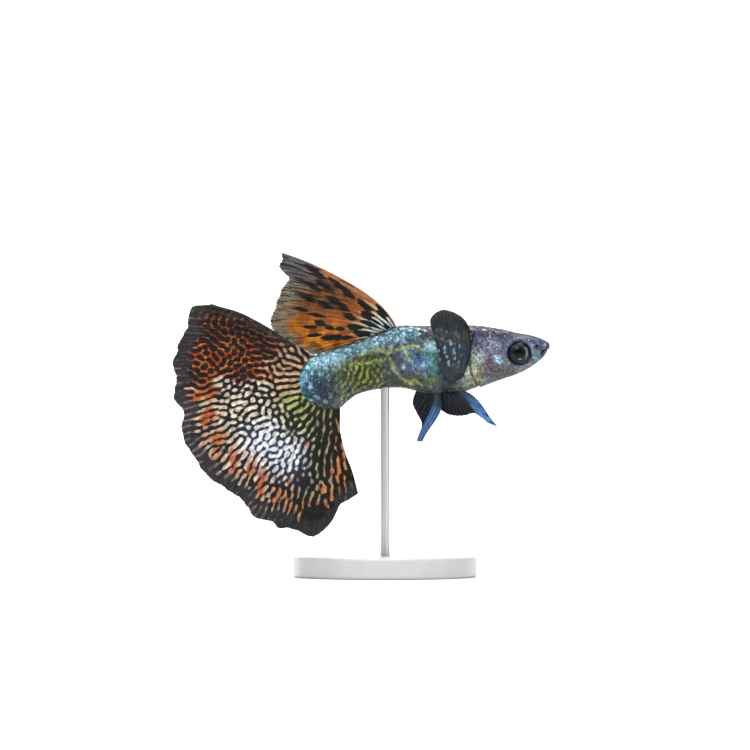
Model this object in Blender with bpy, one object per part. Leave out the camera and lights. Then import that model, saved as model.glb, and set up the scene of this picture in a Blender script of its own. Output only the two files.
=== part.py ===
"""Life-size display model of a male fancy guppy, held over a round base by one rod.

The fish faces +X, its right side faces -Y and +Z is up. The tables give lengths in millimetres, for a
straight fish over the middle of the base; they are turned to metres, and bent, where a mesh is made. At the
end everything moves so that the origin is the middle of the whole model's box, at the base's underside.
"""

import math

import bmesh
import bpy
from mathutils import Vector

MM = 0.001
GAP = 0.3
SHARP_ANGLE = math.radians(40)

# Stand
BASE_RADIUS = 11.5
BASE_THICKNESS = 2.6
BASE_BEVEL = 0.4
BASE_SIDES = 48
ROD_RADIUS = 0.6
ROD_SIDES = 16

# Sideways bend of the fish: straight to BEND_START, then a curve towards -Y, then straight along the tail
BEND_START = 2.0
BEND_LENGTH = 9.5
BEND_ANGLE = math.radians(25)

# Body sections from snout to tail root:
# x, z, tilt in degrees, height above, height below, half width, power (1 is an ellipse, less is boxier)
SNOUT_TIP = (20.45, 28.90, 0, 0.44, 0.52, 0.80, 0.76)
BODY_SECTIONS = (
    SNOUT_TIP,
    (19.70, 28.68, 0, 1.10, 1.38, 1.22, 0.76),
    (18.30, 28.45, 0, 1.80, 2.27, 1.62, 0.78),
    (16.60, 28.10, 0, 2.45, 2.80, 1.95, 0.80),
    (14.40, 27.85, 0, 3.14, 3.30, 2.22, 0.84),
    (11.90, 27.60, 0, 3.75, 3.88, 2.42, 0.88),
    (9.00, 27.35, 0, 4.15, 4.40, 2.50, 0.90),
    (6.90, 27.30, 0, 4.10, 4.50, 2.45, 0.90),
    (4.40, 27.40, 0, 3.98, 4.27, 2.32, 0.90),
    (1.90, 27.50, 4, 3.85, 3.91, 2.12, 0.90),
    (-0.60, 27.05, 11, 3.36, 3.54, 1.86, 0.92),
    (-2.90, 26.30, 18, 3.17, 3.19, 1.58, 0.94),
    (-5.00, 25.50, 23.5, 3.35, 3.11, 1.28, 0.96),
    (-7.25, 24.50, 28, 3.73, 3.73, 0.95, 1.00),
)
LAST_SECTION = len(BODY_SECTIONS) - 1
BODY_SIDES = 40
HEAD_RINGS = 17
TRUNK_RINGS = 15
STEM_RINGS = 8

# Head rings stand closer together at the snout, which bulges a little past its section
HEAD_RING_POWER = 1.25
SNOUT_BULGE = 0.16

# Gill cover: the head ends at this place in the table and bulges back at mid height, and its rear edge flares
# outwards over the last share of the head
GILL_CUT = 5.0
GILL_BULGE = 0.42
GILL_FLARE = 0.13
GILL_FLARE_SHARE = 1 / 12
GILL_MIDDLE_ANGLE = 0.6
STEM_CUT = 10.75

# Rounded end of the tail stem, seen from the side
STEM_END_BULGE = 3.5
STEM_END_RINGS = 7
STEM_END_LEFT = 0.6
STEM_END_HALF_WIDTH = 0.42

# Head details
EYE_X, EYE_Z = 16.72, 27.95
EYE_RADIUS = 1.45
EYE_HALF_DEPTH = 0.80
EYE_SINK = 0.52
NOSTRIL_X, NOSTRIL_Z = 18.95, 28.85
NOSTRIL_RADIUS = 0.20
NOSTRIL_STRETCH = 1.3
MOUTH_FRONT = (20.42, 29.15)
MOUTH_CORNER = (19.35, 27.50)
MOUTH_GROOVE_RADIUS = 0.15
LIP_RADIUS = 0.26
LIP_OFFSET = 0.27
MOUTH_INSET = 0.12
MOUTH_BLUNTNESS = 0.65
MOUTH_STEPS = 12
LIP_END_SHARE = 0.55

# Fin sheets
MEMBRANE = 0.5
RIDGE = 0.14
RIM_THICKNESS = 0.3
RIDGE_FADE = 0.6
SMALL_FIN_ROWS = 6

COLOURS = {
    "silver_skin": ((0.24, 0.27, 0.28), 0.35, 0.25),
    "tail_fin": ((0.42, 0.26, 0.13), 0.45, 0.0),
    "dorsal_fin": ((0.45, 0.24, 0.08), 0.45, 0.0),
    "dark_fin": ((0.04, 0.05, 0.06), 0.45, 0.0),
    "blue_fin": ((0.05, 0.10, 0.18), 0.40, 0.0),
    "eye": ((0.02, 0.02, 0.03), 0.10, 0.0),
    "stand": ((0.80, 0.80, 0.78), 0.30, 0.0),
    "rod": ((0.60, 0.60, 0.60), 0.25, 1.0),
}


def clear_scene():
    """Remove every object of the start-up scene."""
    for obj in list(bpy.data.objects):
        bpy.data.objects.remove(obj)


def material(name):
    """The Principled material of one finish, made once."""
    if name in bpy.data.materials:
        return bpy.data.materials[name]
    colour, roughness, metallic = COLOURS[name]
    finish = bpy.data.materials.new(name)
    finish.use_nodes = True
    shader = finish.node_tree.nodes["Principled BSDF"]
    shader.inputs["Base Color"].default_value = (*colour, 1.0)
    shader.inputs["Roughness"].default_value = roughness
    shader.inputs["Metallic"].default_value = metallic
    return finish


def lerp(a, b, share):
    """Value a share of the way from a to b."""
    return a + (b - a) * share


def along(rows, place):
    """Catmull-Rom value through rows of numbers, at place counted in rows from 0."""
    last = len(rows) - 1
    place = min(max(place, 0.0), float(last))
    i = min(int(place), last - 1)
    f = place - i
    before, a, b, after = (rows[min(max(k, 0), last)] for k in (i - 1, i, i + 1, i + 2))
    return tuple(
        0.5 * (2 * q + (r - p) * f + (2 * p - 5 * q + 4 * r - s) * f**2 + (3 * q - p - 3 * r + s) * f**3)
        for p, q, r, s in zip(before, a, b, after)
    )


def bend(x, y, z, share=1.0):
    """Point of the bent fish, in metres, for a point of the straight one; share lessens the bend."""
    run = max(0.0, BEND_START - x)
    slope = math.tan(BEND_ANGLE) * share
    if run < BEND_LENGTH:
        offset, here = -slope * run**2 / (2 * BEND_LENGTH), slope * run / BEND_LENGTH
    else:
        offset, here = -slope * (run - BEND_LENGTH / 2), slope
    turn = math.atan(here)
    return Vector((x - y * math.sin(turn), offset + y * math.cos(turn), z)) * MM


def section_point(section, angle, flare=0.0):
    """Point of a body section, before the bend; angle 0 is the back and a quarter turn is the +Y flank."""
    x, z, tilt, above, below, half_width, power = section
    rise, side = math.cos(angle), math.sin(angle)
    height = above if rise > 0 else below
    up = math.copysign(abs(rise) ** power, rise) * (height + flare)
    out = math.copysign(abs(side) ** power, side) * (half_width + flare)
    lean = math.radians(tilt)
    return x - up * math.sin(lean), out, z + up * math.cos(lean)


def flank_y(x, z):
    """Half width of the body where its flank stands over (x, z), for the untilted part of the body."""
    place = next(k for k in range(1, LAST_SECTION) if BODY_SECTIONS[k][0] <= x)
    low, high = float(place - 1), float(place)
    for _ in range(30):
        middle = (low + high) / 2
        if along(BODY_SECTIONS, middle)[0] > x:
            low = middle
        else:
            high = middle
    _, centre, _, above, below, half_width, power = along(BODY_SECTIONS, low)
    height = above if z > centre else below
    rise = min(1.0, abs(z - centre) / height) ** (1 / power)
    return half_width * math.sqrt(1 - rise**2) ** power


def edge_z(x, angle):
    """Height over x of the line that runs along the body at this angle of its sections."""
    points = [section_point(along(BODY_SECTIONS, k * 0.1), angle) for k in range(LAST_SECTION * 10 + 1)]
    for a, b in zip(points, points[1:]):
        if b[0] <= x <= a[0]:
            return lerp(b[2], a[2], (x - b[0]) / (a[0] - b[0]))
    return points[-1][2]


def back_z(x):
    """Height of the back's ridge over x."""
    return edge_z(x, 0.0)


def belly_z(x):
    """Height of the belly's lowest line over x."""
    return edge_z(x, math.pi)


def add_object(name, points, faces, finish):
    """New closed object from points in metres, smooth where it is round."""
    mesh = bpy.data.meshes.new(name)
    mesh.from_pydata([tuple(p) for p in points], [], faces)
    mesh.update()
    clean = bmesh.new()
    clean.from_mesh(mesh)
    bmesh.ops.recalc_face_normals(clean, faces=clean.faces)
    clean.to_mesh(mesh)
    clean.free()
    mesh.shade_smooth()
    mesh.set_sharp_from_angle(angle=SHARP_ANGLE)
    mesh.materials.append(material(finish))
    obj = bpy.data.objects.new(name, mesh)
    bpy.context.scene.collection.objects.link(obj)
    return obj


def skin_rings(rings, first_tip, last_tip):
    """Points and triangles of a closed tube through equal rings, closed by a fan at each end."""
    sides = len(rings[0])
    points = [p for ring in rings for p in ring]
    faces = []
    for r in range(len(rings) - 1):
        for k in range(sides):
            a, b = r * sides + k, r * sides + (k + 1) % sides
            faces.append((a, b, b + sides))
            faces.append((a, b + sides, a + sides))
    for tip, start in ((first_tip, 0), (last_tip, (len(rings) - 1) * sides)):
        centre = len(points)
        points.append(tip)
        for k in range(sides):
            pair = (start + k, start + (k + 1) % sides)
            faces.append((*(pair if start else pair[::-1]), centre))
    return points, faces


def ellipsoid(name, centre, radii, rings=12, sides=24, finish="eye"):
    """Closed ellipsoid whose poles point along Y, with a straight-fish centre and radii in millimetres."""
    cx, cy, cz = centre
    rx, ry, rz = radii
    loops = []
    for r in range(1, rings):
        polar = math.pi * r / rings
        loop = []
        for k in range(sides):
            turn = 2 * math.pi * k / sides
            x = cx + rx * math.sin(polar) * math.cos(turn)
            z = cz + rz * math.sin(polar) * math.sin(turn)
            loop.append(bend(x, cy + ry * math.cos(polar), z))
        loops.append(loop)
    points, faces = skin_rings(loops, bend(cx, cy + ry, cz), bend(cx, cy - ry, cz))
    return add_object(name, points, faces, finish)


def tube(name, path, radius, sides=8):
    """Closed tube along straight-fish points, thinner at both ends."""
    rings = []
    for i, p in enumerate(path):
        tangent = (Vector(path[min(i + 1, len(path) - 1)]) - Vector(path[max(i - 1, 0)])).normalized()
        across = tangent.orthogonal() if i == 0 else (across - tangent * across.dot(tangent))
        across = across.normalized()
        other = tangent.cross(across)
        here = radius * (LIP_END_SHARE if i in (0, len(path) - 1) else 1.0)
        ring = []
        for k in range(sides):
            turn = 2 * math.pi * k / sides
            offset = across * math.cos(turn) + other * math.sin(turn)
            ring.append((Vector(p) + offset * here) * MM)
        rings.append(ring)
    points, faces = skin_rings(rings, Vector(path[0]) * MM, Vector(path[-1]) * MM)
    return add_object(name, points, faces, "silver_skin")


def join_or_cut(obj, tools, operation):
    """Boolean of obj with closed tools, which are then removed; obj keeps its largest closed surface."""
    group = bpy.data.collections.new("tools")
    bpy.context.scene.collection.children.link(group)
    for tool in tools:
        bpy.context.scene.collection.objects.unlink(tool)
        group.objects.link(tool)
    change = obj.modifiers.new(operation.lower(), "BOOLEAN")
    change.operation = operation
    change.operand_type = "COLLECTION"
    change.collection = group
    change.solver = "MANIFOLD"
    bpy.context.view_layer.update()
    graph = bpy.context.evaluated_depsgraph_get()
    result = bpy.data.meshes.new_from_object(obj.evaluated_get(graph))
    obj.modifiers.clear()
    obj.data = result
    for tool in tools:
        bpy.data.objects.remove(tool)
    bpy.data.collections.remove(group)
    keep_largest(result)


def keep_largest(mesh):
    """Delete all but the mesh's largest connected surface."""
    work = bmesh.new()
    work.from_mesh(mesh)
    left, shells = set(work.verts), []
    while left:
        shell, edge = set(), [left.pop()]
        while edge:
            vert = edge.pop()
            shell.add(vert)
            for link in vert.link_edges:
                other = link.other_vert(vert)
                if other in left:
                    left.discard(other)
                    edge.append(other)
        shells.append(shell)
    biggest = max(shells, key=len)
    bmesh.ops.delete(work, geom=[v for v in work.verts if v not in biggest], context="VERTS")
    work.to_mesh(mesh)
    work.free()


def gill_edge(angle, shift):
    """Place in the section table of the gill cover's edge, moved back by shift millimetres."""
    place = GILL_CUT + GILL_BULGE * math.sin(angle) ** 2
    step = along(BODY_SECTIONS, place)[0] - along(BODY_SECTIONS, place + 0.1)[0]
    return place + shift * 0.1 / step


def body_ring(place_of, flare=0.0):
    """Ring of bent points; place_of gives the place in the section table for each angle."""
    ring = []
    for k in range(BODY_SIDES):
        angle = 2 * math.pi * k / BODY_SIDES
        section = along(BODY_SECTIONS, place_of(angle))
        ring.append(bend(*section_point(section, angle, flare)))
    return ring


def section_centre(place):
    """Bent middle of the body at a place in the section table."""
    x, z, *_ = along(BODY_SECTIONS, place)
    return bend(x, 0.0, z)


def make_head():
    """Head with eye sockets, nostrils, lips, mouth line and the edge of the gill cover."""
    rings = []
    for r in range(HEAD_RINGS):
        share = (r / (HEAD_RINGS - 1)) ** HEAD_RING_POWER
        flare = GILL_FLARE * max(0.0, 1 - (1 - share) / GILL_FLARE_SHARE)
        rings.append(body_ring(lambda a: gill_edge(a, -GAP / 2) * share, flare))
    snout = bend(SNOUT_TIP[0] + SNOUT_BULGE, 0.0, SNOUT_TIP[1])
    points, faces = skin_rings(rings, snout, section_centre(gill_edge(GILL_MIDDLE_ANGLE, -GAP / 2)))
    head = add_object("head", points, faces, "silver_skin")
    lips = [mouth_tube("upper_lip", 1, LIP_RADIUS), mouth_tube("lower_lip", -1, LIP_RADIUS)]
    join_or_cut(head, lips, "UNION")
    cutters = [mouth_tube("mouth_groove", 0, MOUTH_GROOVE_RADIUS)]
    for side in (-1, 1):
        cutters.append(eye_shape(f"socket_{side}", side, GAP))
        y = side * flank_y(NOSTRIL_X, NOSTRIL_Z)
        radii = (NOSTRIL_RADIUS * NOSTRIL_STRETCH, NOSTRIL_RADIUS, NOSTRIL_RADIUS)
        cutters.append(ellipsoid(f"nostril_{side}", (NOSTRIL_X, y, NOSTRIL_Z), radii, 6, 8))
    join_or_cut(head, cutters, "DIFFERENCE")
    head.data.shade_smooth()
    head.data.set_sharp_from_angle(angle=SHARP_ANGLE)


def mouth_tube(name, side, radius):
    """Tube along the mouth line, moved to the upper lip (side 1), the lower lip (-1) or the gape (0)."""
    (fx, fz), (cx, cz) = MOUTH_FRONT, MOUTH_CORNER
    run = Vector((cx - fx, cz - fz)).normalized()
    across = Vector((run.y, -run.x)) * (LIP_OFFSET * side)
    path = []
    for i in range(MOUTH_STEPS + 1):
        turn = math.pi * (i / MOUTH_STEPS - 0.5)
        share = 1 - math.cos(turn)
        x, z = lerp(fx, cx, share) + across.x, lerp(fz, cz, share) + across.y
        inner = min(x, SNOUT_TIP[0] - MOUTH_INSET)
        y = math.copysign(flank_y(inner, z), turn) * abs(math.sin(turn)) ** MOUTH_BLUNTNESS
        path.append((x - MOUTH_INSET, y, z))
    return tube(name, path, radius)


def eye_shape(name, side, grow):
    """Lens of the eye, or its socket when grown, set into the flank of the head."""
    y = side * (flank_y(EYE_X, EYE_Z) - EYE_SINK)
    radii = (EYE_RADIUS + grow, EYE_HALF_DEPTH + grow, EYE_RADIUS + grow)
    return ellipsoid(name, (EYE_X, y, EYE_Z), radii)


def make_trunk():
    """Trunk from the gill cover to the tail stem."""
    rings = []
    for r in range(TRUNK_RINGS):
        share = r / (TRUNK_RINGS - 1)
        rings.append(body_ring(lambda a: lerp(gill_edge(a, GAP / 2), STEM_CUT, share)))
    start = section_centre(gill_edge(GILL_MIDDLE_ANGLE, GAP / 2))
    points, faces = skin_rings(rings, start, section_centre(STEM_CUT))
    add_object("trunk", points, faces, "silver_skin")


def stem_end_section(share):
    """Section of the tail stem's rounded end; share is 0 at the table's last row and 1 at the arc's tip."""
    x, z, tilt, above, _, half_width, power = BODY_SECTIONS[-1]
    radius = (above**2 + STEM_END_BULGE**2) / (2 * STEM_END_BULGE)
    reach = STEM_END_BULGE * share
    height = math.sqrt(max(radius**2 - (radius - STEM_END_BULGE + reach) ** 2, 0.0))
    lean = math.radians(tilt)
    centre = (x - reach * math.cos(lean), z - reach * math.sin(lean))
    return (*centre, tilt, height, height, lerp(half_width, STEM_END_HALF_WIDTH, share), power)


def stem_arc():
    """Centre and radius of the arc where the tail fin meets the stem."""
    x, z, tilt, above, *_ = BODY_SECTIONS[-1]
    radius = (above**2 + STEM_END_BULGE**2) / (2 * STEM_END_BULGE)
    lean = math.radians(tilt)
    back = STEM_END_BULGE - radius
    return (x - back * math.cos(lean), z - back * math.sin(lean)), radius


def make_tail_stem():
    """Caudal peduncle, flattened towards its rounded end."""
    step = along(BODY_SECTIONS, STEM_CUT)[0] - along(BODY_SECTIONS, STEM_CUT + 0.1)[0]
    start = STEM_CUT + GAP * 0.1 / step
    rings = []
    for r in range(STEM_RINGS):
        rings.append(body_ring(lambda a: lerp(start, LAST_SECTION, r / (STEM_RINGS - 1))))
    for r in range(1, STEM_END_RINGS + 1):
        section = stem_end_section(math.sin(0.5 * math.pi * r / (STEM_END_RINGS + STEM_END_LEFT)))
        ring = []
        for k in range(BODY_SIDES):
            ring.append(bend(*section_point(section, 2 * math.pi * k / BODY_SIDES)))
        rings.append(ring)
    tip = stem_end_section(1.0)
    points, faces = skin_rings(rings, section_centre(start), bend(tip[0], 0.0, tip[1]))
    add_object("tail_stem", points, faces, "silver_skin")


def fin_sheet(name, finish, rays, place, rows=SMALL_FIN_ROWS, thickness=MEMBRANE, per_ray=2, bend_share=1.0):
    """Closed fin: place(a, r) gives a straight-fish point; a runs over the rays and r from root to rim.

    The rays are ridges in the sheet's own surface, and both faces are split into triangles alike.
    """
    columns = rays * per_ray + 1
    front, back = [], []
    for i in range(columns):
        a = i / (columns - 1)
        for j in range(rows):
            r = j / (rows - 1)
            ridge = RIDGE * (0.5 + 0.5 * math.cos(2 * math.pi * a * rays))
            half = lerp(thickness, RIM_THICKNESS, r**3) / 2 + ridge * (1 - RIDGE_FADE * r)
            x, y, z = place(a, r)
            front.append(bend(x, y - half, z, bend_share))
            back.append(bend(x, y + half, z, bend_share))
    points = front + back
    other = len(front)
    faces = []
    for i in range(columns - 1):
        for j in range(rows - 1):
            a, b = i * rows + j, (i + 1) * rows + j
            for tri in ((a, b, b + 1), (a, b + 1, a + 1)):
                faces.append(tri)
                faces.append(tuple(k + other for k in tri[::-1]))
    rim = [j for j in range(rows)]
    rim += [i * rows + rows - 1 for i in range(1, columns)]
    rim += [(columns - 1) * rows + j for j in range(rows - 2, -1, -1)]
    rim += [i * rows for i in range(columns - 2, 0, -1)]
    for a, b in zip(rim, rim[1:] + rim[:1]):
        faces.append((a, b, b + other))
        faces.append((a, b + other, a + other))
    return add_object(name, points, faces, finish)


def ray_point(root, end, bow, r):
    """Point at share r of a ray that bows to its left by a share of its length; root and end are (x, z)."""
    start, stop = Vector(root), Vector(end)
    run = stop - start
    across = Vector((run.y, -run.x))
    return start + run * r + across * (bow * 4 * r * (1 - r))


# Tail fin, about the centre of the stem's arc: the rim's distance from the upper edge to the lower, and the
# angles of those two edges in degrees, from root to rim
TAIL_RIM = (17.2, 19.0, 19.4, 19.6, 19.5, 18.6, 19.1, 19.3, 19.1, 18.8, 18.9, 19.3, 19.3, 19.4, 15.7, 14.5)
TAIL_UPPER_EDGE = (121.0, 134.6, 139.2, 142.4, 146.4)
TAIL_LOWER_EDGE = (294.0, 283.6, 282.2, 284.0, 284.0)
TAIL_RAYS = 22
TAIL_ROWS = 9
TAIL_MEMBRANE = 0.55
TAIL_SCALLOP = 0.35
# Soft folds: depth at the rim, waves across the fan, start in waves, power of their growth from root to rim
TAIL_FOLDS = ((0.9, 2.6, 0.15, 2), (0.35, 6.3, 0.0, 3))


def table(values, share):
    """Smooth value a share of the way through a row of equally spaced numbers."""
    return along([(v,) for v in values], share * (len(values) - 1))[0]


def tail_place(a, r):
    """Tail fin: rays spread like a fan from the arc of the stem, with a few soft folds."""
    (cx, cz), radius = stem_arc()
    turn = math.radians(lerp(table(TAIL_UPPER_EDGE, r), table(TAIL_LOWER_EDGE, r), a))
    rim = table(TAIL_RIM, a) - TAIL_SCALLOP * math.sin(math.pi * a * TAIL_RAYS / 2) ** 2
    reach = lerp(radius + GAP, rim, r)
    fold = 0.0
    for depth, waves, start, power in TAIL_FOLDS:
        fold += depth * r**power * math.sin(2 * math.pi * (waves * a + start))
    return cx + reach * math.cos(turn), fold, cz + reach * math.sin(turn)


# Dorsal fin: roots along the back, then the trailing margin from the tip down to the last ray
DORSAL_ROOT_X = (1.6, -1.1)
DORSAL_MARGIN = (
    (-13.1, 40.6),
    (-12.9, 38.6),
    (-12.0, 37.0),
    (-13.0, 35.8),
    (-13.4, 34.6),
    (-13.9, 33.0),
    (-14.2, 31.0),
    (-12.4, 29.4),
    (-10.6, 28.2),
    (-8.0, 27.7),
)
DORSAL_RAYS = 9
DORSAL_ROWS = 9
DORSAL_PER_RAY = 4
DORSAL_CLEARANCE = 0.12
DORSAL_BEND_SHARE = 0.25
DORSAL_BOW = 0.075
DORSAL_HUMP = 1.2
# Behind the first of these two places the bent stem is out of the way, and the fin dips past its top line
DORSAL_DIP_X = (-4.5, -8.0)
DORSAL_DIP = 0.95
DORSAL_WAVE = (0.45, 1.4, 0.3)


def dorsal_place(a, r):
    """Dorsal fin, swept back like a pennant over the tail stem."""
    root_x = lerp(*DORSAL_ROOT_X, a)
    root = (root_x, back_z(root_x) + GAP + DORSAL_CLEARANCE)
    end = along(DORSAL_MARGIN, a * (len(DORSAL_MARGIN) - 1))
    bow = lerp(DORSAL_BOW, 0.0, a) * (1 + DORSAL_HUMP * (1 - r) ** 3)
    x, z = ray_point(root, end, bow, r)
    depth, waves, start = DORSAL_WAVE
    wave = depth * r**2 * math.sin(2 * math.pi * (waves * a + start))
    start_x, full_x = DORSAL_DIP_X
    share = min(1.0, max(0.0, (x - start_x) / (full_x - start_x)))
    dip = DORSAL_DIP * share**2 * (3 - 2 * share)
    return x, wave, max(z, back_z(x) + GAP + DORSAL_CLEARANCE - dip)


# Pectoral fins: big rounded paddles raised beside the back
PECTORAL_ROOT = ((9.75, 25.0), (8.35, 24.1))
PECTORAL_MARGIN = (
    (10.6, 27.3),
    (10.7, 28.8),
    (10.4, 31.2),
    (9.2, 32.65),
    (7.1, 33.3),
    (5.6, 32.1),
    (5.7, 30.0),
    (6.4, 27.6),
    (7.0, 25.6),
)
PECTORAL_RAYS = 8
# Lean away from the body: distance at the top, its growth with height, and how far the middle is cupped back
PECTORAL_TOP = 33.3
PECTORAL_SPREAD = {"right": 3.4, "left": 4.5}
PECTORAL_SPREAD_POWER = 0.8
PECTORAL_CUP = 0.5
PECTORAL_DROP = {"right": 0.0, "left": 0.9}


def pectoral_place(side_name):
    """Placing function of one pectoral fin, cupped towards the body; the right one is on -Y."""
    side = -1 if side_name == "right" else 1

    def place(a, r):
        root = along(PECTORAL_ROOT, a)
        end = along(PECTORAL_MARGIN, a * (len(PECTORAL_MARGIN) - 1))
        x, z = ray_point(root, end, 0.0, r)
        rise = max(0.0, z - root[1]) / (PECTORAL_TOP - root[1])
        out = flank_y(*root) + GAP + MEMBRANE / 2 + RIDGE
        out += PECTORAL_SPREAD[side_name] * rise**PECTORAL_SPREAD_POWER
        out -= PECTORAL_CUP * r * math.sin(math.pi * a)
        return x, side * out, z - PECTORAL_DROP[side_name] * r

    return place


# Pelvic fins: swung forward, with a long first ray past a rounded web
PELVIC_ROOT_X = (9.4, 7.5)
PELVIC_MARGIN = (
    (14.0, 18.85),
    (13.0, 19.2),
    (11.3, 20.45),
    (10.0, 20.2),
    (8.9, 20.15),
    (7.9, 20.35),
    (7.1, 20.9),
)
PELVIC_ROOT_Y = 0.75
PELVIC_SPREAD = 1.7
PELVIC_CLEARANCE = 0.15
PELVIC_BOW = -0.06
PELVIC_RAYS = 6


def pelvic_place(side):
    """Placing function of one pelvic fin; side -1 is the right one."""

    def place(a, r):
        root_x = lerp(*PELVIC_ROOT_X, a)
        root = (root_x, belly_z(root_x) - GAP - PELVIC_CLEARANCE)
        end = along(PELVIC_MARGIN, a * (len(PELVIC_MARGIN) - 1))
        x, z = ray_point(root, end, lerp(PELVIC_BOW, 0.0, a), r)
        return x, side * (PELVIC_ROOT_Y + PELVIC_SPREAD * r), z

    return place


# Anal fin: a long front ray, the gonopodium, with a rounded web behind it
ANAL_ROOT_X = (7.0, 4.0)
ANAL_MARGIN = (
    (4.7, 16.9),
    (4.0, 17.1),
    (4.6, 19.0),
    (3.95, 20.5),
    (3.45, 21.6),
    (3.6, 22.6),
)
ANAL_CLEARANCE = 0.1
ANAL_BOW = -0.13
ANAL_RAYS = 5


def anal_place(a, r):
    """Anal fin, swung down on the midline."""
    root_x = lerp(*ANAL_ROOT_X, a)
    root = (root_x, belly_z(root_x) - GAP - ANAL_CLEARANCE)
    end = along(ANAL_MARGIN, a * (len(ANAL_MARGIN) - 1))
    x, z = ray_point(root, end, lerp(ANAL_BOW, 0.0, a), r)
    return x, 0.0, z


def make_stand():
    """Round base with a bevelled rim, and the rod up to the belly."""
    work = bmesh.new()
    size = {"radius1": BASE_RADIUS * MM, "radius2": BASE_RADIUS * MM, "depth": BASE_THICKNESS * MM}
    bmesh.ops.create_cone(work, cap_ends=True, segments=BASE_SIDES, **size)
    mesh = bpy.data.meshes.new("stand_base")
    work.to_mesh(mesh)
    work.free()
    mesh.materials.append(material("stand"))
    base = bpy.data.objects.new("stand_base", mesh)
    base.location.z = BASE_THICKNESS * MM / 2
    bpy.context.scene.collection.objects.link(base)
    rounding = base.modifiers.new("rim", "BEVEL")
    rounding.width = BASE_BEVEL * MM
    rounding.segments = 2
    rounding.limit_method = "ANGLE"
    foot = BASE_THICKNESS + GAP
    top = min(belly_z(x) for x in (-ROD_RADIUS, 0.0, ROD_RADIUS)) - GAP
    rings = []
    for z in (foot, top):
        ring = []
        for k in range(ROD_SIDES):
            turn = 2 * math.pi * k / ROD_SIDES
            ring.append(Vector((ROD_RADIUS * math.cos(turn), ROD_RADIUS * math.sin(turn), z)) * MM)
        rings.append(ring)
    points, faces = skin_rings(rings, Vector((0, 0, foot * MM)), Vector((0, 0, top * MM)))
    add_object("stand_rod", points, faces, "rod")


def centre_frame():
    """Move every node so that the origin is the middle of the whole model's box, at its lowest level."""
    bpy.context.view_layer.update()
    nodes = list(bpy.context.scene.objects)
    corners = [node.matrix_world @ Vector(corner) for node in nodes for corner in node.bound_box]
    for axis in (0, 1):
        values = [corner[axis] for corner in corners]
        for node in nodes:
            node.location[axis] -= (min(values) + max(values)) / 2


def main():
    """Build every node of the model."""
    clear_scene()
    make_head()
    make_trunk()
    make_tail_stem()
    eye_shape("eye_right", -1, 0.0)
    eye_shape("eye_left", 1, 0.0)
    fin_sheet("tail_fin", "tail_fin", TAIL_RAYS, tail_place, TAIL_ROWS, TAIL_MEMBRANE)
    dorsal = {"rows": DORSAL_ROWS, "per_ray": DORSAL_PER_RAY, "bend_share": DORSAL_BEND_SHARE}
    fin_sheet("dorsal_fin", "dorsal_fin", DORSAL_RAYS, dorsal_place, **dorsal)
    fin_sheet("pectoral_fin_right", "dark_fin", PECTORAL_RAYS, pectoral_place("right"))
    fin_sheet("pectoral_fin_left", "dark_fin", PECTORAL_RAYS, pectoral_place("left"))
    fin_sheet("pelvic_fin_right", "blue_fin", PELVIC_RAYS, pelvic_place(-1))
    fin_sheet("pelvic_fin_left", "blue_fin", PELVIC_RAYS, pelvic_place(1))
    fin_sheet("anal_fin", "blue_fin", ANAL_RAYS, anal_place)
    make_stand()
    centre_frame()


main()
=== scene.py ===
"""Looks of a life-size museum model of a male fancy guppy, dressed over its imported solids.

Fish space is in millimetres: the straight fish over the middle of its base, nose towards +X, right side
towards -Y. One function bends it and moves it to the frame's metres. X and Z are the same in both, so the
markings are placed in them by their real sizes.
"""
import logging
import math
from collections.abc import Callable, Sequence
from dataclasses import dataclass, field
from enum import Enum

import bpy
import numpy as np
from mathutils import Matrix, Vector


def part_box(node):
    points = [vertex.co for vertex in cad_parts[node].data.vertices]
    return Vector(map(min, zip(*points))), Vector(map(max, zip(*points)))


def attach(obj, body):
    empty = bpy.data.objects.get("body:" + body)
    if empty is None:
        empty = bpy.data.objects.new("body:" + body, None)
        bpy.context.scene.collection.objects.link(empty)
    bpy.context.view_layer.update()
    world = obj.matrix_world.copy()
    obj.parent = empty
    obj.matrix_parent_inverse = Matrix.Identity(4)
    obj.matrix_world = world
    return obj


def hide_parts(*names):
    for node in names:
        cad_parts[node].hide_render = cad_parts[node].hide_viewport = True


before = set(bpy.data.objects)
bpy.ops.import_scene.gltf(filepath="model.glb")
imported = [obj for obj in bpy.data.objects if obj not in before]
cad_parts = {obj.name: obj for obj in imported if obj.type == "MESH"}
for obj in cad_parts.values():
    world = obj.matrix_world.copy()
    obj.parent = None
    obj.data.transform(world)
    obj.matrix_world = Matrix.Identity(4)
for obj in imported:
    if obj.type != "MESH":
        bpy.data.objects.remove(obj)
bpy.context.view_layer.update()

LOG = logging.getLogger("guppy")
MM = 0.001

Array = np.ndarray
Rows = Sequence[Sequence[float]]

ROD_LOW, ROD_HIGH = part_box("stand_rod")
SHIFT = (ROD_LOW + ROD_HIGH) / 2

BEND_START = 2.0
BEND_LENGTH = 9.5
BEND_ANGLE = math.radians(25)


def linear(colour: str) -> tuple[float, float, float]:
    """Linear colour of an sRGB hex value.

    Args:
        colour: six hex digits after a hash sign.

    Returns:
        Red, green and blue from 0 to 1.
    """
    parts = [int(colour[k : k + 2], 16) / 255 for k in (1, 3, 5)]
    return tuple(c / 12.92 if c <= 0.04045 else ((c + 0.055) / 1.055) ** 2.4 for c in parts)


def mix_in(tint: Array, colour: str, share: Array) -> None:
    """Mix a colour into an array of linear colours by its share."""
    tint += (np.array(linear(colour)) - tint) * share[..., None]


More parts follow.
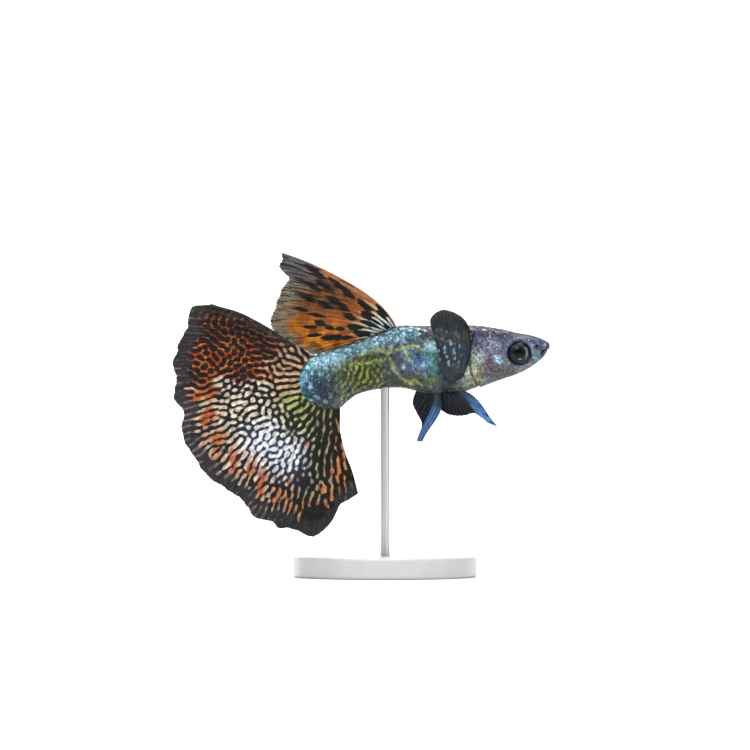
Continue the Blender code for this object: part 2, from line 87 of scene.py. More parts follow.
def blend_colours(shape: tuple[int, ...], start: str, layers: Sequence[tuple[str, Array]]) -> Array:
    """Lay colours over one another.

    Args:
        shape: shape of the shares.
        start: the first colour.
        layers: each a colour and its share, kept from 0 to 1.

    Returns:
        Linear colours.
    """
    tint = np.broadcast_to(np.array(linear(start)), (*shape, 3)).copy()
    for colour, share in layers:
        mix_in(tint, colour, np.clip(share, 0, 1))
    return tint


def along(rows: Rows, place: Array) -> Array:
    """Smooth values through rows of numbers.

    Args:
        rows: equally spaced rows, each of the same length.
        place: where to read, counted in rows from 0.

    Returns:
        One row of values for each place, in the last axis.
    """
    table = np.asarray(rows, float)
    last = len(table) - 1
    place = np.clip(place, 0.0, last)
    i = np.minimum(place.astype(int), last - 1)
    f = (place - i)[..., None]
    p, q, r, s = (table[np.clip(i + k, 0, last)] for k in (-1, 0, 1, 2))
    return 0.5 * (2 * q + (r - p) * f + (2 * p - 5 * q + 4 * r - s) * f**2 + (3 * q - p - 3 * r + s) * f**3)


def share_of(values: Sequence[float], share: Array) -> Array:
    """Smooth value a share of the way through equally spaced numbers.

    Args:
        values: the numbers.
        share: from 0 to 1.

    Returns:
        The values read.
    """
    return along([(v,) for v in values], share * (len(values) - 1))[..., 0]


def smooth(low: float, high: float, value: Array) -> Array:
    """Smooth step.

    Args:
        low: where the step starts, at 0.
        high: where it ends, at 1.
        value: what is tested.

    Returns:
        Values from 0 to 1.
    """
    t = np.clip((value - low) / (high - low), 0.0, 1.0)
    return t * t * (3 - 2 * t)


def hill(off: Array, width: float | Array) -> Array:
    """Rounded hill: 1 where off is 0, and falling away on both sides over the width."""
    return np.exp(-((off / width) ** 2))


def ripple(x: Array, z: Array, size: float, seed: int) -> Array:
    """Soft random waves in fish space.

    Args:
        x: places along the fish.
        z: heights.
        size: typical wavelength in millimetres.
        seed: which pattern.

    Returns:
        Values from about -1 to 1.
    """
    draw = np.random.default_rng(seed)
    total = np.zeros_like(x, dtype=float)
    for _ in range(7):
        turn, phase = draw.uniform(0, 2 * math.pi, 2)
        pace = 2 * math.pi / (size * draw.uniform(0.7, 1.6))
        total += np.sin(pace * (x * math.cos(turn) + z * math.sin(turn)) + phase)
    return total / 3.2


def bent(x: Array, y: Array, z: Array, share: float = 1.0) -> Array:
    """Frame-space metres of fish-space points.

    Args:
        x: places along the fish.
        y: distances to its left side.
        z: heights.
        share: how much of the tail's sideways bend applies.

    Returns:
        Points in metres, in the last axis.
    """
    run = np.maximum(0.0, BEND_START - x)
    slope = math.tan(BEND_ANGLE) * share
    inside = run < BEND_LENGTH
    offset = np.where(inside, -slope * run**2 / (2 * BEND_LENGTH), -slope * (run - BEND_LENGTH / 2))
    turn = np.arctan(np.where(inside, slope * run / BEND_LENGTH, slope))
    points = np.stack([x - y * np.sin(turn), offset + y * np.cos(turn), z + 0 * x], axis=-1) * MM
    return points + np.array([SHIFT.x, SHIFT.y, 0.0])


def normals_of(points: Array) -> Array:
    """Unit normals of a grid of points, by the cross product of its two directions.

    Args:
        points: rows by columns by 3.

    Returns:
        Normals in the same layout.
    """
    cross = np.cross(np.gradient(points, axis=0), np.gradient(points, axis=1))
    return cross / np.maximum(np.linalg.norm(cross, axis=-1, keepdims=True), 1e-12)


def grid_quads(rows: int, columns: int, closed: bool = False) -> Array:
    """Faces of a grid of points.

    Args:
        rows: number of rows.
        columns: number of points in a row.
        closed: whether the last column joins the first.

    Returns:
        Four point numbers for each face.
    """
    i, j = np.meshgrid(np.arange(rows - 1), np.arange(columns if closed else columns - 1), indexing="ij")
    k = (j + 1) % columns
    here, below = i * columns, (i + 1) * columns
    return np.stack([here + j, here + k, below + k, below + j], axis=-1).reshape(-1, 4)


def rim_walls(rows: int, columns: int) -> Array:
    """Faces that close the rim between two equal grids, the second numbered on from the first.

    Args:
        rows: number of rows of each grid.
        columns: number of points in a row.

    Returns:
        Four point numbers for each face.
    """
    cells = rows * columns
    sides = (
        np.arange(columns),
        columns * np.arange(2, rows + 1) - 1,
        cells - 2 - np.arange(columns - 1),
        columns * np.arange(rows - 2, 0, -1),
    )
    rim = np.concatenate(sides)
    after = np.roll(rim, -1)
    return np.stack([rim, after, after + cells, rim + cells], axis=-1)


def both_faces(value: Array) -> Array:
    """The same values for the upper and the lower face of each plate."""
    return np.stack([value, value], axis=1)


def add_mesh(
    name: str,
    points: Array,
    faces: Sequence[Array],
    material: bpy.types.Material,
    values: dict[str, Array] | None = None,
    maps: dict[str, Array] | None = None,
) -> bpy.types.Object:
    """Add a smooth mesh object.

    Args:
        name: the piece's name.
        points: vertices in metres.
        faces: arrays of quads or triangles.
        material: its finish.
        values: attributes on the vertices, one number or three for each.
        maps: UV maps, as one pair of numbers for each vertex.

    Returns:
        The new object.
    """
    mesh = bpy.data.meshes.new(name)
    points = points.reshape(-1, 3)
    corners = np.concatenate([f.ravel() for f in faces]).astype(np.int32)
    sizes = np.concatenate([np.full(len(f), f.shape[1]) for f in faces])
    mesh.vertices.add(len(points))
    mesh.vertices.foreach_set("co", points.astype(np.float32).ravel())
    mesh.loops.add(len(corners))
    mesh.loops.foreach_set("vertex_index", corners)
    mesh.polygons.add(len(sizes))
    mesh.polygons.foreach_set("loop_start", np.concatenate([[0], np.cumsum(sizes)[:-1]]).astype(np.int32))
    mesh.polygons.foreach_set("use_smooth", np.ones(len(sizes), bool))
    mesh.update(calc_edges=True)
    for key, value in (values or {}).items():
        value = np.asarray(value, np.float32).reshape(len(points), -1)
        if value.shape[1] == 3:
            layer = mesh.attributes.new(key, "FLOAT_COLOR", "POINT")
            layer.data.foreach_set("color", np.concatenate([value, np.ones((len(value), 1))], axis=1).ravel())
        else:
            mesh.attributes.new(key, "FLOAT", "POINT").data.foreach_set("value", value.ravel())
    for key, value in (maps or {}).items():
        layer = mesh.uv_layers.new(name=key)
        layer.data.foreach_set("uv", value.reshape(-1, 2)[corners].astype(np.float32).ravel())
    mesh.materials.append(material)
    obj = bpy.data.objects.new(name, mesh)
    bpy.context.scene.collection.objects.link(obj)
    return obj


def dress(piece: bpy.types.Object, slot: str, *nodes: str) -> None:
    """Tie a piece to the frame.

    Args:
        piece: the piece in its place.
        slot: the record's material slot, not used.
        nodes: the CAD nodes that it stands for.
    """
    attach(piece, "root")
    if nodes:
        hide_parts(*nodes)
    LOG.info("%s: %d faces", piece.name, len(piece.data.polygons))


def add_node(
    tree: bpy.types.NodeTree,
    kind: str,
    settings: dict[str, object] | None = None,
    inputs: dict[str | int, object] | None = None,
) -> bpy.types.Node:
    """Add a shader node with its settings and links.

    Args:
        tree: the material's node tree.
        kind: the node's type.
        settings: its properties.
        inputs: its sockets, each set to a value or linked from another node's output.

    Returns:
        The new node.
    """
    node = tree.nodes.new(kind)
    for key, value in (settings or {}).items():
        setattr(node, key, value)
    for key, value in (inputs or {}).items():
        if isinstance(value, bpy.types.NodeSocket):
            tree.links.new(value, node.inputs[key])
        else:
            node.inputs[key].default_value = value
    return node


def new_material(name: str) -> tuple[bpy.types.Material, bpy.types.NodeTree, bpy.types.Node]:
    """New node material.

    Args:
        name: the finish's name.

    Returns:
        The material, its node tree and its Principled shader.
    """
    material = bpy.data.materials.new(name)
    material.use_nodes = True
    tree = material.node_tree
    return material, tree, tree.nodes["Principled BSDF"]


def set_sockets(shader: bpy.types.Node, values: dict[str, object]) -> None:
    """Set the sockets that are the same all over the surface."""
    for key, value in values.items():
        shader.inputs[key].default_value = value


def per_mm(size_mm: float) -> float:
    """Texture scale that gives marks of a real size."""
    return 1.0 / (size_mm * MM)


@dataclass(frozen=True)
class WetSkin:
    """Live fish skin: pigment under a layer of clear slime, with crystals of guanine that flash like foil.

    The eye sees soft mottling, broken silvery glints, painted into the colour, and one clear wet gloss over
    everything.
    """

    name: str
    roughness: float = 0.45
    coat: float = 0.07
    mottle_mm: float = 0.55
    dark_mottle: float = 0.36
    pale_mottle: float = 1.3
    # A real crystal is far too small to show, so each glint here stands for a patch of them, as a painted
    # highlight.
    crystal_mm: float = 0.3
    crystal_strength: float = 0.9
    crystal_gain: float = 1.9
    glint_glow: str = "#617379"
    cloud_mm: float = 0.36
    # The skin's own pits are finer than this, and drawn this coarse so that they show.
    pore_mm: float = 0.18
    pore_depth_mm: float = 0.03
    pore_strength: float = 0.35
    coat_roughness: float = 0.15
    specular: float = 0.16
    metal_share: float = 0.25

    def build(self) -> bpy.types.Material:
        """Make the material.

        Returns:
            The material. It reads the colour attribute tint and the number attribute flash.
        """
        material, tree, shader = new_material(self.name)
        tint = add_node(tree, "ShaderNodeAttribute", {"attribute_name": "tint"}).outputs["Color"]
        flash = add_node(tree, "ShaderNodeAttribute", {"attribute_name": "flash"}).outputs["Fac"]
        place = add_node(tree, "ShaderNodeTexCoord").outputs["Object"]
        blotch = add_node(
            tree, "ShaderNodeTexNoise", None,
            {"Vector": place, "Scale": per_mm(self.mottle_mm), "Detail": 4.0, "Roughness": 0.65},
        )
        hue = add_node(
            tree, "ShaderNodeMapRange", {"data_type": "FLOAT_VECTOR"},
            {"Vector": blotch.outputs["Color"], 7: (0.3,) * 3, 8: (0.7,) * 3, 9: (0.82,) * 3, 10: (1.2,) * 3},
        ).outputs["Vector"]
        cloud = add_node(
            tree, "ShaderNodeTexNoise", None,
            {"Vector": place, "Scale": per_mm(self.cloud_mm), "Detail": 3.0},
        ).outputs["Fac"]
        value = add_node(
            tree, "ShaderNodeMapRange", None,
            {
                "Value": cloud, "From Min": 0.36, "From Max": 0.66,
                "To Min": self.dark_mottle, "To Max": self.pale_mottle,
            },
        ).outputs["Result"]
        tinted = add_node(
            tree, "ShaderNodeVectorMath", {"operation": "MULTIPLY"}, {0: tint, 1: hue}
        ).outputs[0]
        shaded = add_node(
            tree, "ShaderNodeVectorMath", {"operation": "SCALE"}, {0: tinted, "Scale": value}
        ).outputs[0]
        cells = add_node(
            tree, "ShaderNodeTexVoronoi", None,
            {"Vector": place, "Scale": per_mm(self.crystal_mm), "Randomness": 1.0},
        )
        glint = add_node(
            tree, "ShaderNodeMapRange", {"interpolation_type": "SMOOTHSTEP"},
            {"Value": cells.outputs["Distance"], "From Min": 0.5, "From Max": 0.2},
        ).outputs["Result"]
        picked = add_node(tree, "ShaderNodeSeparateColor", None, {0: cells.outputs["Color"]}).outputs[0]
        chance = add_node(
            tree, "ShaderNodeMath", {"operation": "MULTIPLY_ADD"}, {0: flash, 1: -0.62, 2: 0.9}
        ).outputs[0]
        above = add_node(tree, "ShaderNodeMath", {"operation": "SUBTRACT"}, {0: picked, 1: chance}).outputs[0]
        rare = add_node(
            tree, "ShaderNodeMapRange", {"interpolation_type": "SMOOTHSTEP"},
            {"Value": above, "From Max": 0.25, "To Max": self.crystal_strength},
        ).outputs["Result"]
        sparkle = add_node(tree, "ShaderNodeMath", {"operation": "MULTIPLY"}, {0: glint, 1: rare}).outputs[0]
        # Painted highlight: in the glints the colour turns pale and bright, as light flashing off the
        # crystals.
        silver = add_node(
            tree, "ShaderNodeVectorMath", {"operation": "MULTIPLY_ADD"},
            {0: tint, 1: (self.crystal_gain,) * 3, 2: linear(self.glint_glow)},
        ).outputs[0]
        colour = add_node(
            tree, "ShaderNodeMix", {"data_type": "RGBA"}, {0: sparkle, 6: shaded, 7: silver}
        ).outputs[2]
        metal = add_node(
            tree, "ShaderNodeMath", {"operation": "MULTIPLY"}, {0: flash, 1: self.metal_share}
        ).outputs[0]
        pores = add_node(
            tree, "ShaderNodeTexNoise", None,
            {"Vector": place, "Scale": per_mm(self.pore_mm), "Detail": 2.0},
        ).outputs["Fac"]
        pitted = add_node(
            tree, "ShaderNodeBump", None,
            {"Height": pores, "Distance": self.pore_depth_mm * MM, "Strength": self.pore_strength},
        ).outputs["Normal"]
        tree.links.new(colour, shader.inputs["Base Color"])
        tree.links.new(metal, shader.inputs["Metallic"])
        tree.links.new(pitted, shader.inputs["Normal"])
        set_sockets(shader, {
            "Roughness": self.roughness,
            "Coat Weight": self.coat,
            "Coat Roughness": self.coat_roughness,
            "Specular IOR Level": self.specular,
        })
        return material


@dataclass(frozen=True)
class FinMembrane:
    """Fin skin stretched over bony rays: pigment cells lie in lines and blots, and the rim is bare and smoky.

    The eye sees fine ridges that catch the light along the rays, and light coming through where there is
    little pigment.
    """

    name: str
    edge: float = 0.35
    edge_mm: float = 0.35
    # Single pigment cells are too fine to show, so this is the size of a cluster.
    grain_mm: float = 0.5
    ray_depth_mm: float = 0.05
    ray_strength: float = 0.6
    roughness: float = 0.45
    specular: float = 0.18
    coat: float = 0.04
    coat_roughness: float = 0.2

    def build(self) -> bpy.types.Material:
        """Make the material.

        Returns:
            The material. It reads the colours ground and mark, and the numbers sign, ray and clear.
        """
        material, tree, shader = new_material(self.name)
        read = {
            key: add_node(tree, "ShaderNodeAttribute", {"attribute_name": key})
            for key in ("ground", "mark", "sign", "ray", "clear")
        }
        place = add_node(tree, "ShaderNodeTexCoord").outputs["Object"]
        frayed = add_node(
            tree, "ShaderNodeTexNoise", None,
            {"Vector": place, "Scale": per_mm(self.edge_mm), "Detail": 2.0},
        ).outputs["Fac"]
        rough_edge = add_node(
            tree, "ShaderNodeMapRange", None,
            {"Value": frayed, "From Min": 0.2, "From Max": 0.8, "To Min": -0.4, "To Max": 0.4},
        ).outputs["Result"]
        sign = add_node(
            tree, "ShaderNodeMath", {"operation": "ADD"}, {0: read["sign"].outputs["Fac"], 1: rough_edge}
        ).outputs[0]
        mask = add_node(
            tree, "ShaderNodeMapRange", {"interpolation_type": "SMOOTHSTEP"},
            {"Value": sign, "From Min": -self.edge, "From Max": self.edge},
        ).outputs["Result"]
        colour = add_node(
            tree, "ShaderNodeMix", {"data_type": "RGBA"},
            {0: mask, 6: read["ground"].outputs["Color"], 7: read["mark"].outputs["Color"]},
        ).outputs[2]
        ray = read["ray"].outputs["Fac"]
        shade = add_node(
            tree, "ShaderNodeMapRange", None, {"Value": ray, "To Min": 0.78, "To Max": 1.25}
        ).outputs["Result"]
        grain = add_node(
            tree, "ShaderNodeTexNoise", None,
            {"Vector": place, "Scale": per_mm(self.grain_mm), "Detail": 3.0},
        ).outputs["Fac"]
        tone = add_node(
            tree, "ShaderNodeMapRange", None,
            {"Value": grain, "From Min": 0.3, "From Max": 0.7, "To Min": 0.75, "To Max": 1.25},
        ).outputs["Result"]
        both = add_node(tree, "ShaderNodeMath", {"operation": "MULTIPLY"}, {0: shade, 1: tone}).outputs[0]
        lit = add_node(tree, "ShaderNodeVectorMath", {"operation": "SCALE"}, {0: colour, "Scale": both})
        alpha = add_node(
            tree, "ShaderNodeMath", {"operation": "SUBTRACT"}, {0: 1.0, 1: read["clear"].outputs["Fac"]}
        ).outputs[0]
        ribbed = add_node(
            tree, "ShaderNodeBump", None,
            {"Height": ray, "Distance": self.ray_depth_mm * MM, "Strength": self.ray_strength},
        ).outputs["Normal"]
        tree.links.new(lit.outputs[0], shader.inputs["Base Color"])
        tree.links.new(alpha, shader.inputs["Alpha"])
        tree.links.new(ribbed, shader.inputs["Normal"])
        set_sockets(shader, {
            "Roughness": self.roughness,
            "Specular IOR Level": self.specular,
            "Coat Weight": self.coat,
            "Coat Roughness": self.coat_roughness,
        })
        return material


@dataclass(frozen=True)
class EyeGloss:
    """A wet eyeball: dark pigment under a clear, smooth cornea, so that it mirrors the lamps in points."""

    name: str = "eyeball_wet"
    # The iris is clouded by bundles of fibres, drawn this coarse so that they show.
    fibre_mm: float = 0.16
    roughness: float = 0.25
    specular: float = 0.12
    coat: float = 0.2
    coat_roughness: float = 0.02
    ior: float = 1.38

    def build(self) -> bpy.types.Material:
        """Make the material.

        Returns:
            The material. It reads the colour attribute tint.
        """
        material, tree, shader = new_material(self.name)
        tint = add_node(tree, "ShaderNodeAttribute", {"attribute_name": "tint"}).outputs["Color"]
        place = add_node(tree, "ShaderNodeTexCoord").outputs["Object"]
        fibre = add_node(
            tree, "ShaderNodeTexNoise", None,
            {"Vector": place, "Scale": per_mm(self.fibre_mm), "Detail": 3.0},
        ).outputs["Fac"]
        tone = add_node(
            tree, "ShaderNodeMapRange", None,
            {"Value": fibre, "From Min": 0.3, "From Max": 0.7, "To Min": 0.7, "To Max": 1.35},
        ).outputs["Result"]
        lit = add_node(tree, "ShaderNodeVectorMath", {"operation": "SCALE"}, {0: tint, "Scale": tone})
        tree.links.new(lit.outputs[0], shader.inputs["Base Color"])
        set_sockets(shader, {
            "Roughness": self.roughness,
            "Specular IOR Level": self.specular,
            "Coat Weight": self.coat,
            "Coat Roughness": self.coat_roughness,
            "IOR": self.ior,
        })
        return material


@dataclass(frozen=True)
class CastAcrylic:
    """Cast acrylic, turned and then matted by hand: an even pale tone with a fine silky haze in its gloss."""

    name: str = "acrylic_cast_satin"
    colour: str = "#cbccca"
    haze_mm: float = 2.5
    sheen_mm: float = 1.2
    # Matting scratches are finer than this, and drawn this coarse so that they show.
    grit_mm: float = 0.25
    grit_depth_mm: float = 0.01
    grit_strength: float = 0.2
    roughness: tuple[float, float] = (0.3, 0.42)
    ior: float = 1.49

    def build(self) -> bpy.types.Material:
        """Make the material.

        Returns:
            The material.
        """
        material, tree, shader = new_material(self.name)
        place = add_node(tree, "ShaderNodeTexCoord").outputs["Object"]
        cloud = add_node(
            tree, "ShaderNodeTexNoise", None,
            {"Vector": place, "Scale": per_mm(self.haze_mm), "Detail": 3.0},
        ).outputs["Fac"]
        haze = add_node(
            tree, "ShaderNodeMapRange", None,
            {"Value": cloud, "From Min": 0.3, "From Max": 0.7, "To Min": 0.96, "To Max": 1.03},
        ).outputs["Result"]
        base = linear(self.colour)
        tone = add_node(tree, "ShaderNodeVectorMath", {"operation": "SCALE"}, {0: base, "Scale": haze})
        rubbed = add_node(
            tree, "ShaderNodeTexNoise", None,
            {"Vector": place, "Scale": per_mm(self.sheen_mm), "Detail": 3.0},
        ).outputs["Fac"]
        smoothest, roughest = self.roughness
        sheen = add_node(
            tree, "ShaderNodeMapRange", None,
            {"Value": rubbed, "From Min": 0.3, "From Max": 0.7, "To Min": smoothest, "To Max": roughest},
        ).outputs["Result"]
        grit = add_node(
            tree, "ShaderNodeTexNoise", None,
            {"Vector": place, "Scale": per_mm(self.grit_mm), "Detail": 2.0},
        ).outputs["Fac"]
        matted = add_node(
            tree, "ShaderNodeBump", None,
            {"Height": grit, "Distance": self.grit_depth_mm * MM, "Strength": self.grit_strength},
        ).outputs["Normal"]
        tree.links.new(tone.outputs[0], shader.inputs["Base Color"])
        tree.links.new(sheen, shader.inputs["Roughness"])
        tree.links.new(matted, shader.inputs["Normal"])
        set_sockets(shader, {"IOR": self.ior})
        return material


@dataclass(frozen=True)
class DrawnSteel:
    """Stainless steel rod, drawn and brushed round: bright metal with fine hoops across its length."""

    name: str = "stainless_steel_brushed"
    colour: str = "#c6c8c9"
    # Brushing marks are finer than this on a real rod, and drawn this coarse so that they show.
    hoop_mm: float = 0.12
    hoop_stretch: float = 0.05
    hoop_depth_mm: float = 0.01
    hoop_strength: float = 0.06
    roughness: tuple[float, float] = (0.28, 0.32)

    def build(self) -> bpy.types.Material:
        """Make the material.

        Returns:
            The material.
        """
        material, tree, shader = new_material(self.name)
        place = add_node(tree, "ShaderNodeTexCoord").outputs["Object"]
        stretch = (self.hoop_stretch, self.hoop_stretch, 1.0)
        flat = add_node(
            tree, "ShaderNodeMapping", None, {"Vector": place, "Scale": stretch}
        ).outputs["Vector"]
        hoops = add_node(
            tree, "ShaderNodeTexNoise", None,
            {"Vector": flat, "Scale": per_mm(self.hoop_mm), "Detail": 2.0},
        ).outputs["Fac"]
        smoothest, roughest = self.roughness
        rough = add_node(
            tree, "ShaderNodeMapRange", None,
            {"Value": hoops, "From Min": 0.3, "From Max": 0.7, "To Min": smoothest, "To Max": roughest},
        ).outputs["Result"]
        brushed = add_node(
            tree, "ShaderNodeBump", None,
            {"Height": hoops, "Distance": self.hoop_depth_mm * MM, "Strength": self.hoop_strength},
        ).outputs["Normal"]
        tree.links.new(rough, shader.inputs["Roughness"])
        tree.links.new(brushed, shader.inputs["Normal"])
        set_sockets(shader, {"Base Color": (*linear(self.colour), 1.0), "Metallic": 1.0})
        return material


@dataclass(frozen=True)
class StudioPaper:
    """Matt white background paper: even, pale and without any gloss."""

    name: str = "paper_background_matt"
    colour: str = "#fbfbfa"
    # Paper fibres are finer than this, and drawn this coarse so that the sheet isn't quite even.
    fibre_mm: float = 1.0
    fibre_depth_mm: float = 0.02
    fibre_strength: float = 0.1
    roughness: float = 0.95

    def build(self) -> bpy.types.Material:
        """Make the material.

        Returns:
            The material.
        """
        material, tree, shader = new_material(self.name)
        place = add_node(tree, "ShaderNodeTexCoord").outputs["Object"]
        fibres = add_node(
            tree, "ShaderNodeTexNoise", None,
            {"Vector": place, "Scale": per_mm(self.fibre_mm), "Detail": 3.0},
        ).outputs["Fac"]
        felted = add_node(
            tree, "ShaderNodeBump", None,
            {"Height": fibres, "Distance": self.fibre_depth_mm * MM, "Strength": self.fibre_strength},
        ).outputs["Normal"]
        tree.links.new(felted, shader.inputs["Normal"])
        set_sockets(shader, {"Base Color": (*linear(self.colour), 1.0), "Roughness": self.roughness})
        return material


@dataclass(frozen=True)
class Maze:
    """Wave pattern that grows by itself, as pigment cells sort into lines or spots in fish skin.

    It solves the Swift-Hohenberg equation on a square patch of fish space, smoothed a little along a given
    direction in each step, so that its lines run that way.
    """

    low: tuple[float, float]
    side: float
    spacing: float
    steps: int = 45
    cells: int = 384
    seed: int = 7
    time_step: float = 0.6
    drive: float = 0.45
    tap_share: float = 0.3

    def grow(self, run: Callable[[Array, Array], tuple[Array, Array, Array, Array]]) -> Array:
        """Grow the pattern.

        Args:
            run: gives, for x and z, the direction to follow as two parts, how strongly it is followed, from 0
                to 0.5, and the lean towards high spots, above 0, or low spots, below 0.

        Returns:
            The pattern over the patch, with a spread of about 1.
        """
        step = self.side / self.cells
        x, z = np.meshgrid(*(low + step * np.arange(self.cells) for low in self.low), indexing="ij")
        dx, dz, hold, lean = run(x, z)
        pace = 2 * math.pi * np.fft.fftfreq(self.cells, step)
        wave = (pace[:, None] ** 2 + pace[None, :] ** 2) / (2 * math.pi / self.spacing) ** 2
        damping = 1 + self.time_step * ((1 - wave) ** 2 - self.drive)
        u = np.random.default_rng(self.seed).normal(0, 0.3, x.shape)
        reach = self.tap_share * self.spacing
        taps = [self.taps(x + s * reach * dx, z + s * reach * dz) for s in (-1, 1)]
        for _ in range(self.steps):
            force = u + self.time_step * (lean * u**2 - u**3)
            u = np.fft.ifft2(np.fft.fft2(force) / damping).real
            u = u + hold * (0.5 * (self.read(u, taps[0]) + self.read(u, taps[1])) - u)
        return (u - u.mean()) / u.std()

    def taps(self, x: Array, z: Array) -> tuple[Array, Array, Array, Array]:
        """Where to read the pattern between its cells.

        Args:
            x: places along the fish.
            z: heights.

        Returns:
            Cell numbers and the shares between them.
        """
        a = (x - self.low[0]) / self.side * self.cells
        b = (z - self.low[1]) / self.side * self.cells
        i, j = np.floor(a).astype(int), np.floor(b).astype(int)
        return i % self.cells, j % self.cells, a - i, b - j

    def read(self, u: Array, taps: tuple[Array, Array, Array, Array]) -> Array:
        """Values between the cells.

        Args:
            u: the pattern.
            taps: where to read it.

        Returns:
            The values.
        """
        i, j, f, g = taps
        k, m = (i + 1) % self.cells, (j + 1) % self.cells
        return (1 - f) * ((1 - g) * u[i, j] + g * u[i, m]) + f * ((1 - g) * u[k, j] + g * u[k, m])


@dataclass(frozen=True)
class Patch:
    """One blot of colour on the flank, in fish space.

    Its glitter says how much the scales there flash.
    """

    name: str
    x: float
    z: float
    wide: float
    high: float
    colour: str
    strength: float = 0.9
    glitter: float = 0.0

    def weight(self, x: Array, z: Array) -> Array:
        """Share of this blot.

        Args:
            x: places along the fish.
            z: heights.

        Returns:
            Shares from 0 to its strength.
        """
        reach = ((x - self.x) / self.wide) ** 2 + ((z - self.z) / self.high) ** 2
        return self.strength * np.exp(-(reach**1.5))


@dataclass
class Markings:
    """Colours of the body, the same on both flanks, from broad zones to small spots."""

    patches: tuple[Patch, ...] = (
        Patch("rear trunk, olive", -3.0, 25.6, 4.2, 4.4, "#293018", 1.0),
        Patch("tail stem, turquoise", -9.6, 24.6, 2.9, 5.0, "#224457", 1.0, 0.85),
        # On the tail stem the slate below and the pale top are partly painted: shade below and a highlight on
        # top, over its own turquoise.
        Patch("tail stem, slate", -7.5, 23.2, 1.6, 2.3, "#202e36", 0.85, 0.25),
        Patch("tail stem, pale top", -8.4, 27.3, 2.6, 1.0, "#b4d8e6", 0.9, 1.0),
        Patch("tail stem, pale rear", -10.5, 25.2, 0.8, 2.8, "#6fa6c2", 0.4, 1.0),
        Patch("middle, grey olive", -1.4, 27.5, 1.5, 0.55, "#3a3c2b"),
        Patch("middle, slate violet", 1.9, 26.2, 1.3, 1.4, "#3c4254"),
        Patch("flank, steel blue", 4.1, 27.0, 1.7, 1.3, "#48678c", 1.0, 0.6),
        Patch("flank, turquoise band", 6.0, 27.0, 1.0, 2.4, "#4f9089", 0.95, 0.6),
        Patch("flank, pale top of the band", 5.9, 28.8, 0.8, 0.7, "#a4d2dc", 0.85, 0.8),
        Patch("flank, pale flecks on the blue", 3.9, 28.5, 1.7, 0.55, "#8ea594", 0.6, 1.0),
        Patch("belly, olive", 3.2, 24.1, 4.4, 1.1, "#33372a", 0.95),
        Patch("belly, green", 5.9, 24.5, 0.9, 0.8, "#5c6b3c", 0.7),
        Patch("upper flank, violet grey", 2.6, 30.2, 4.0, 1.1, "#2c3042", 0.9, 1.0),
        Patch("shoulder, dark band", 8.3, 27.0, 1.8, 6.5, "#171d21", 1.0, 0.05),
        Patch("breast, green grey", 10.7, 25.7, 1.3, 1.6, "#a6b598", 0.9, 0.45),
        Patch("gill cover, silver", 11.4, 27.6, 1.2, 1.1, "#9dadaa", 0.85, 0.9),
        Patch("nape, grey", 11.0, 30.0, 1.3, 1.3, "#393a49", 0.85, 0.75),
        Patch("nape, violet", 12.8, 30.4, 1.8, 0.9, "#393750", 0.9, 0.4),
        Patch("cheek, violet silver", 13.3, 29.1, 1.5, 1.1, "#82839d", 0.85, 0.9),
        Patch("gill cover, orange", 11.5, 25.1, 0.85, 0.6, "#85604a", 0.8),
        Patch("gill cover, red", 13.0, 26.7, 0.6, 0.9, "#6c4651", 0.85),
        Patch("gill cover, dull rose", 13.6, 26.1, 0.7, 0.5, "#6a4b52", 0.7),
        Patch("throat, brown grey", 14.8, 25.4, 1.9, 0.8, "#4c464a", 0.9),
        Patch("breast, pale underside", 11.4, 23.9, 2.4, 0.8, "#7c8373", 0.9),
        Patch("cheek, blue spot", 14.0, 27.2, 0.5, 0.42, "#a6c4e6", 0.95, 0.5),
        Patch("under the eye, lilac", 16.8, 26.0, 1.1, 0.55, "#696672", 0.85, 0.4),
        Patch("behind the eye, olive", 15.1, 26.9, 0.45, 0.5, "#7a8060", 0.7),
        Patch("forehead, blue grey", 16.3, 30.0, 2.2, 0.9, "#3c4357", 0.9, 0.2),
        Patch("round the eye, silver lilac", 16.7, 28.3, 1.9, 1.6, "#6f7587", 0.7, 0.5),
        Patch("snout, violet blue", 19.0, 29.4, 1.3, 0.9, "#5c668c", 0.9, 0.3),
        Patch("before the eye, teal", 18.8, 27.6, 0.7, 1.1, "#5a7c83", 0.85, 0.25),
        Patch("before the eye, pale rim", 18.35, 28.5, 0.22, 0.9, "#97a1ae", 0.7, 0.3),
        # The dark teal round the nostril is partly painted shade of its pit.
        Patch("nostril, dark teal", 19.1, 28.55, 0.5, 0.4, "#26363f", 0.75),
        Patch("lips, dark blue", 20.4, 28.95, 0.45, 0.65, "#252c4a", 0.85),
        Patch("lips, pale fold", 19.85, 28.95, 0.12, 0.3, "#a2b1c2", 0.7, 0.3),
        Patch("lower lip, dull rose", 20.15, 27.95, 0.3, 0.4, "#8a7f88", 0.8, 0.2),
    )
    panel: Patch = Patch("middle, bare panel", -1.7, 27.65, 2.0, 0.6, "#3a3c2b", 1.0)
    lines: tuple[tuple[tuple[float, float], ...], ...] = (
        ((-4.6, 26.7), (-3.6, 26.6), (-1.6, 27.0), (-0.2, 27.1)),
        ((-3.6, 27.8), (-1.6, 28.1), (-0.2, 28.4), (1.5, 28.4), (2.8, 28.8), (4.4, 28.9)),
        ((0.2, 28.3), (0.6, 27.0), (1.0, 26.0), (2.3, 24.6), (4.5, 24.1)),
        ((2.4, 28.7), (2.7, 27.4), (3.7, 26.9)),
    )
    line_width: float = 0.17
    start_colour: str = "#5d6472"
    line_colour: str = "#a3b26f"
    # Painted shadow of the dorsal fin on the ridge of the back.
    dorsal_shadow_colour: str = "#0f2229"
    crown_colour: str = "#171921"
    # A band of painted highlight along the back, below its ridge, over the pale cyan of its scales.
    back_highlight_colour: str = "#6ea6b6"
    belly_colour: str = "#41443a"
    ragged_mm: float = 0.28
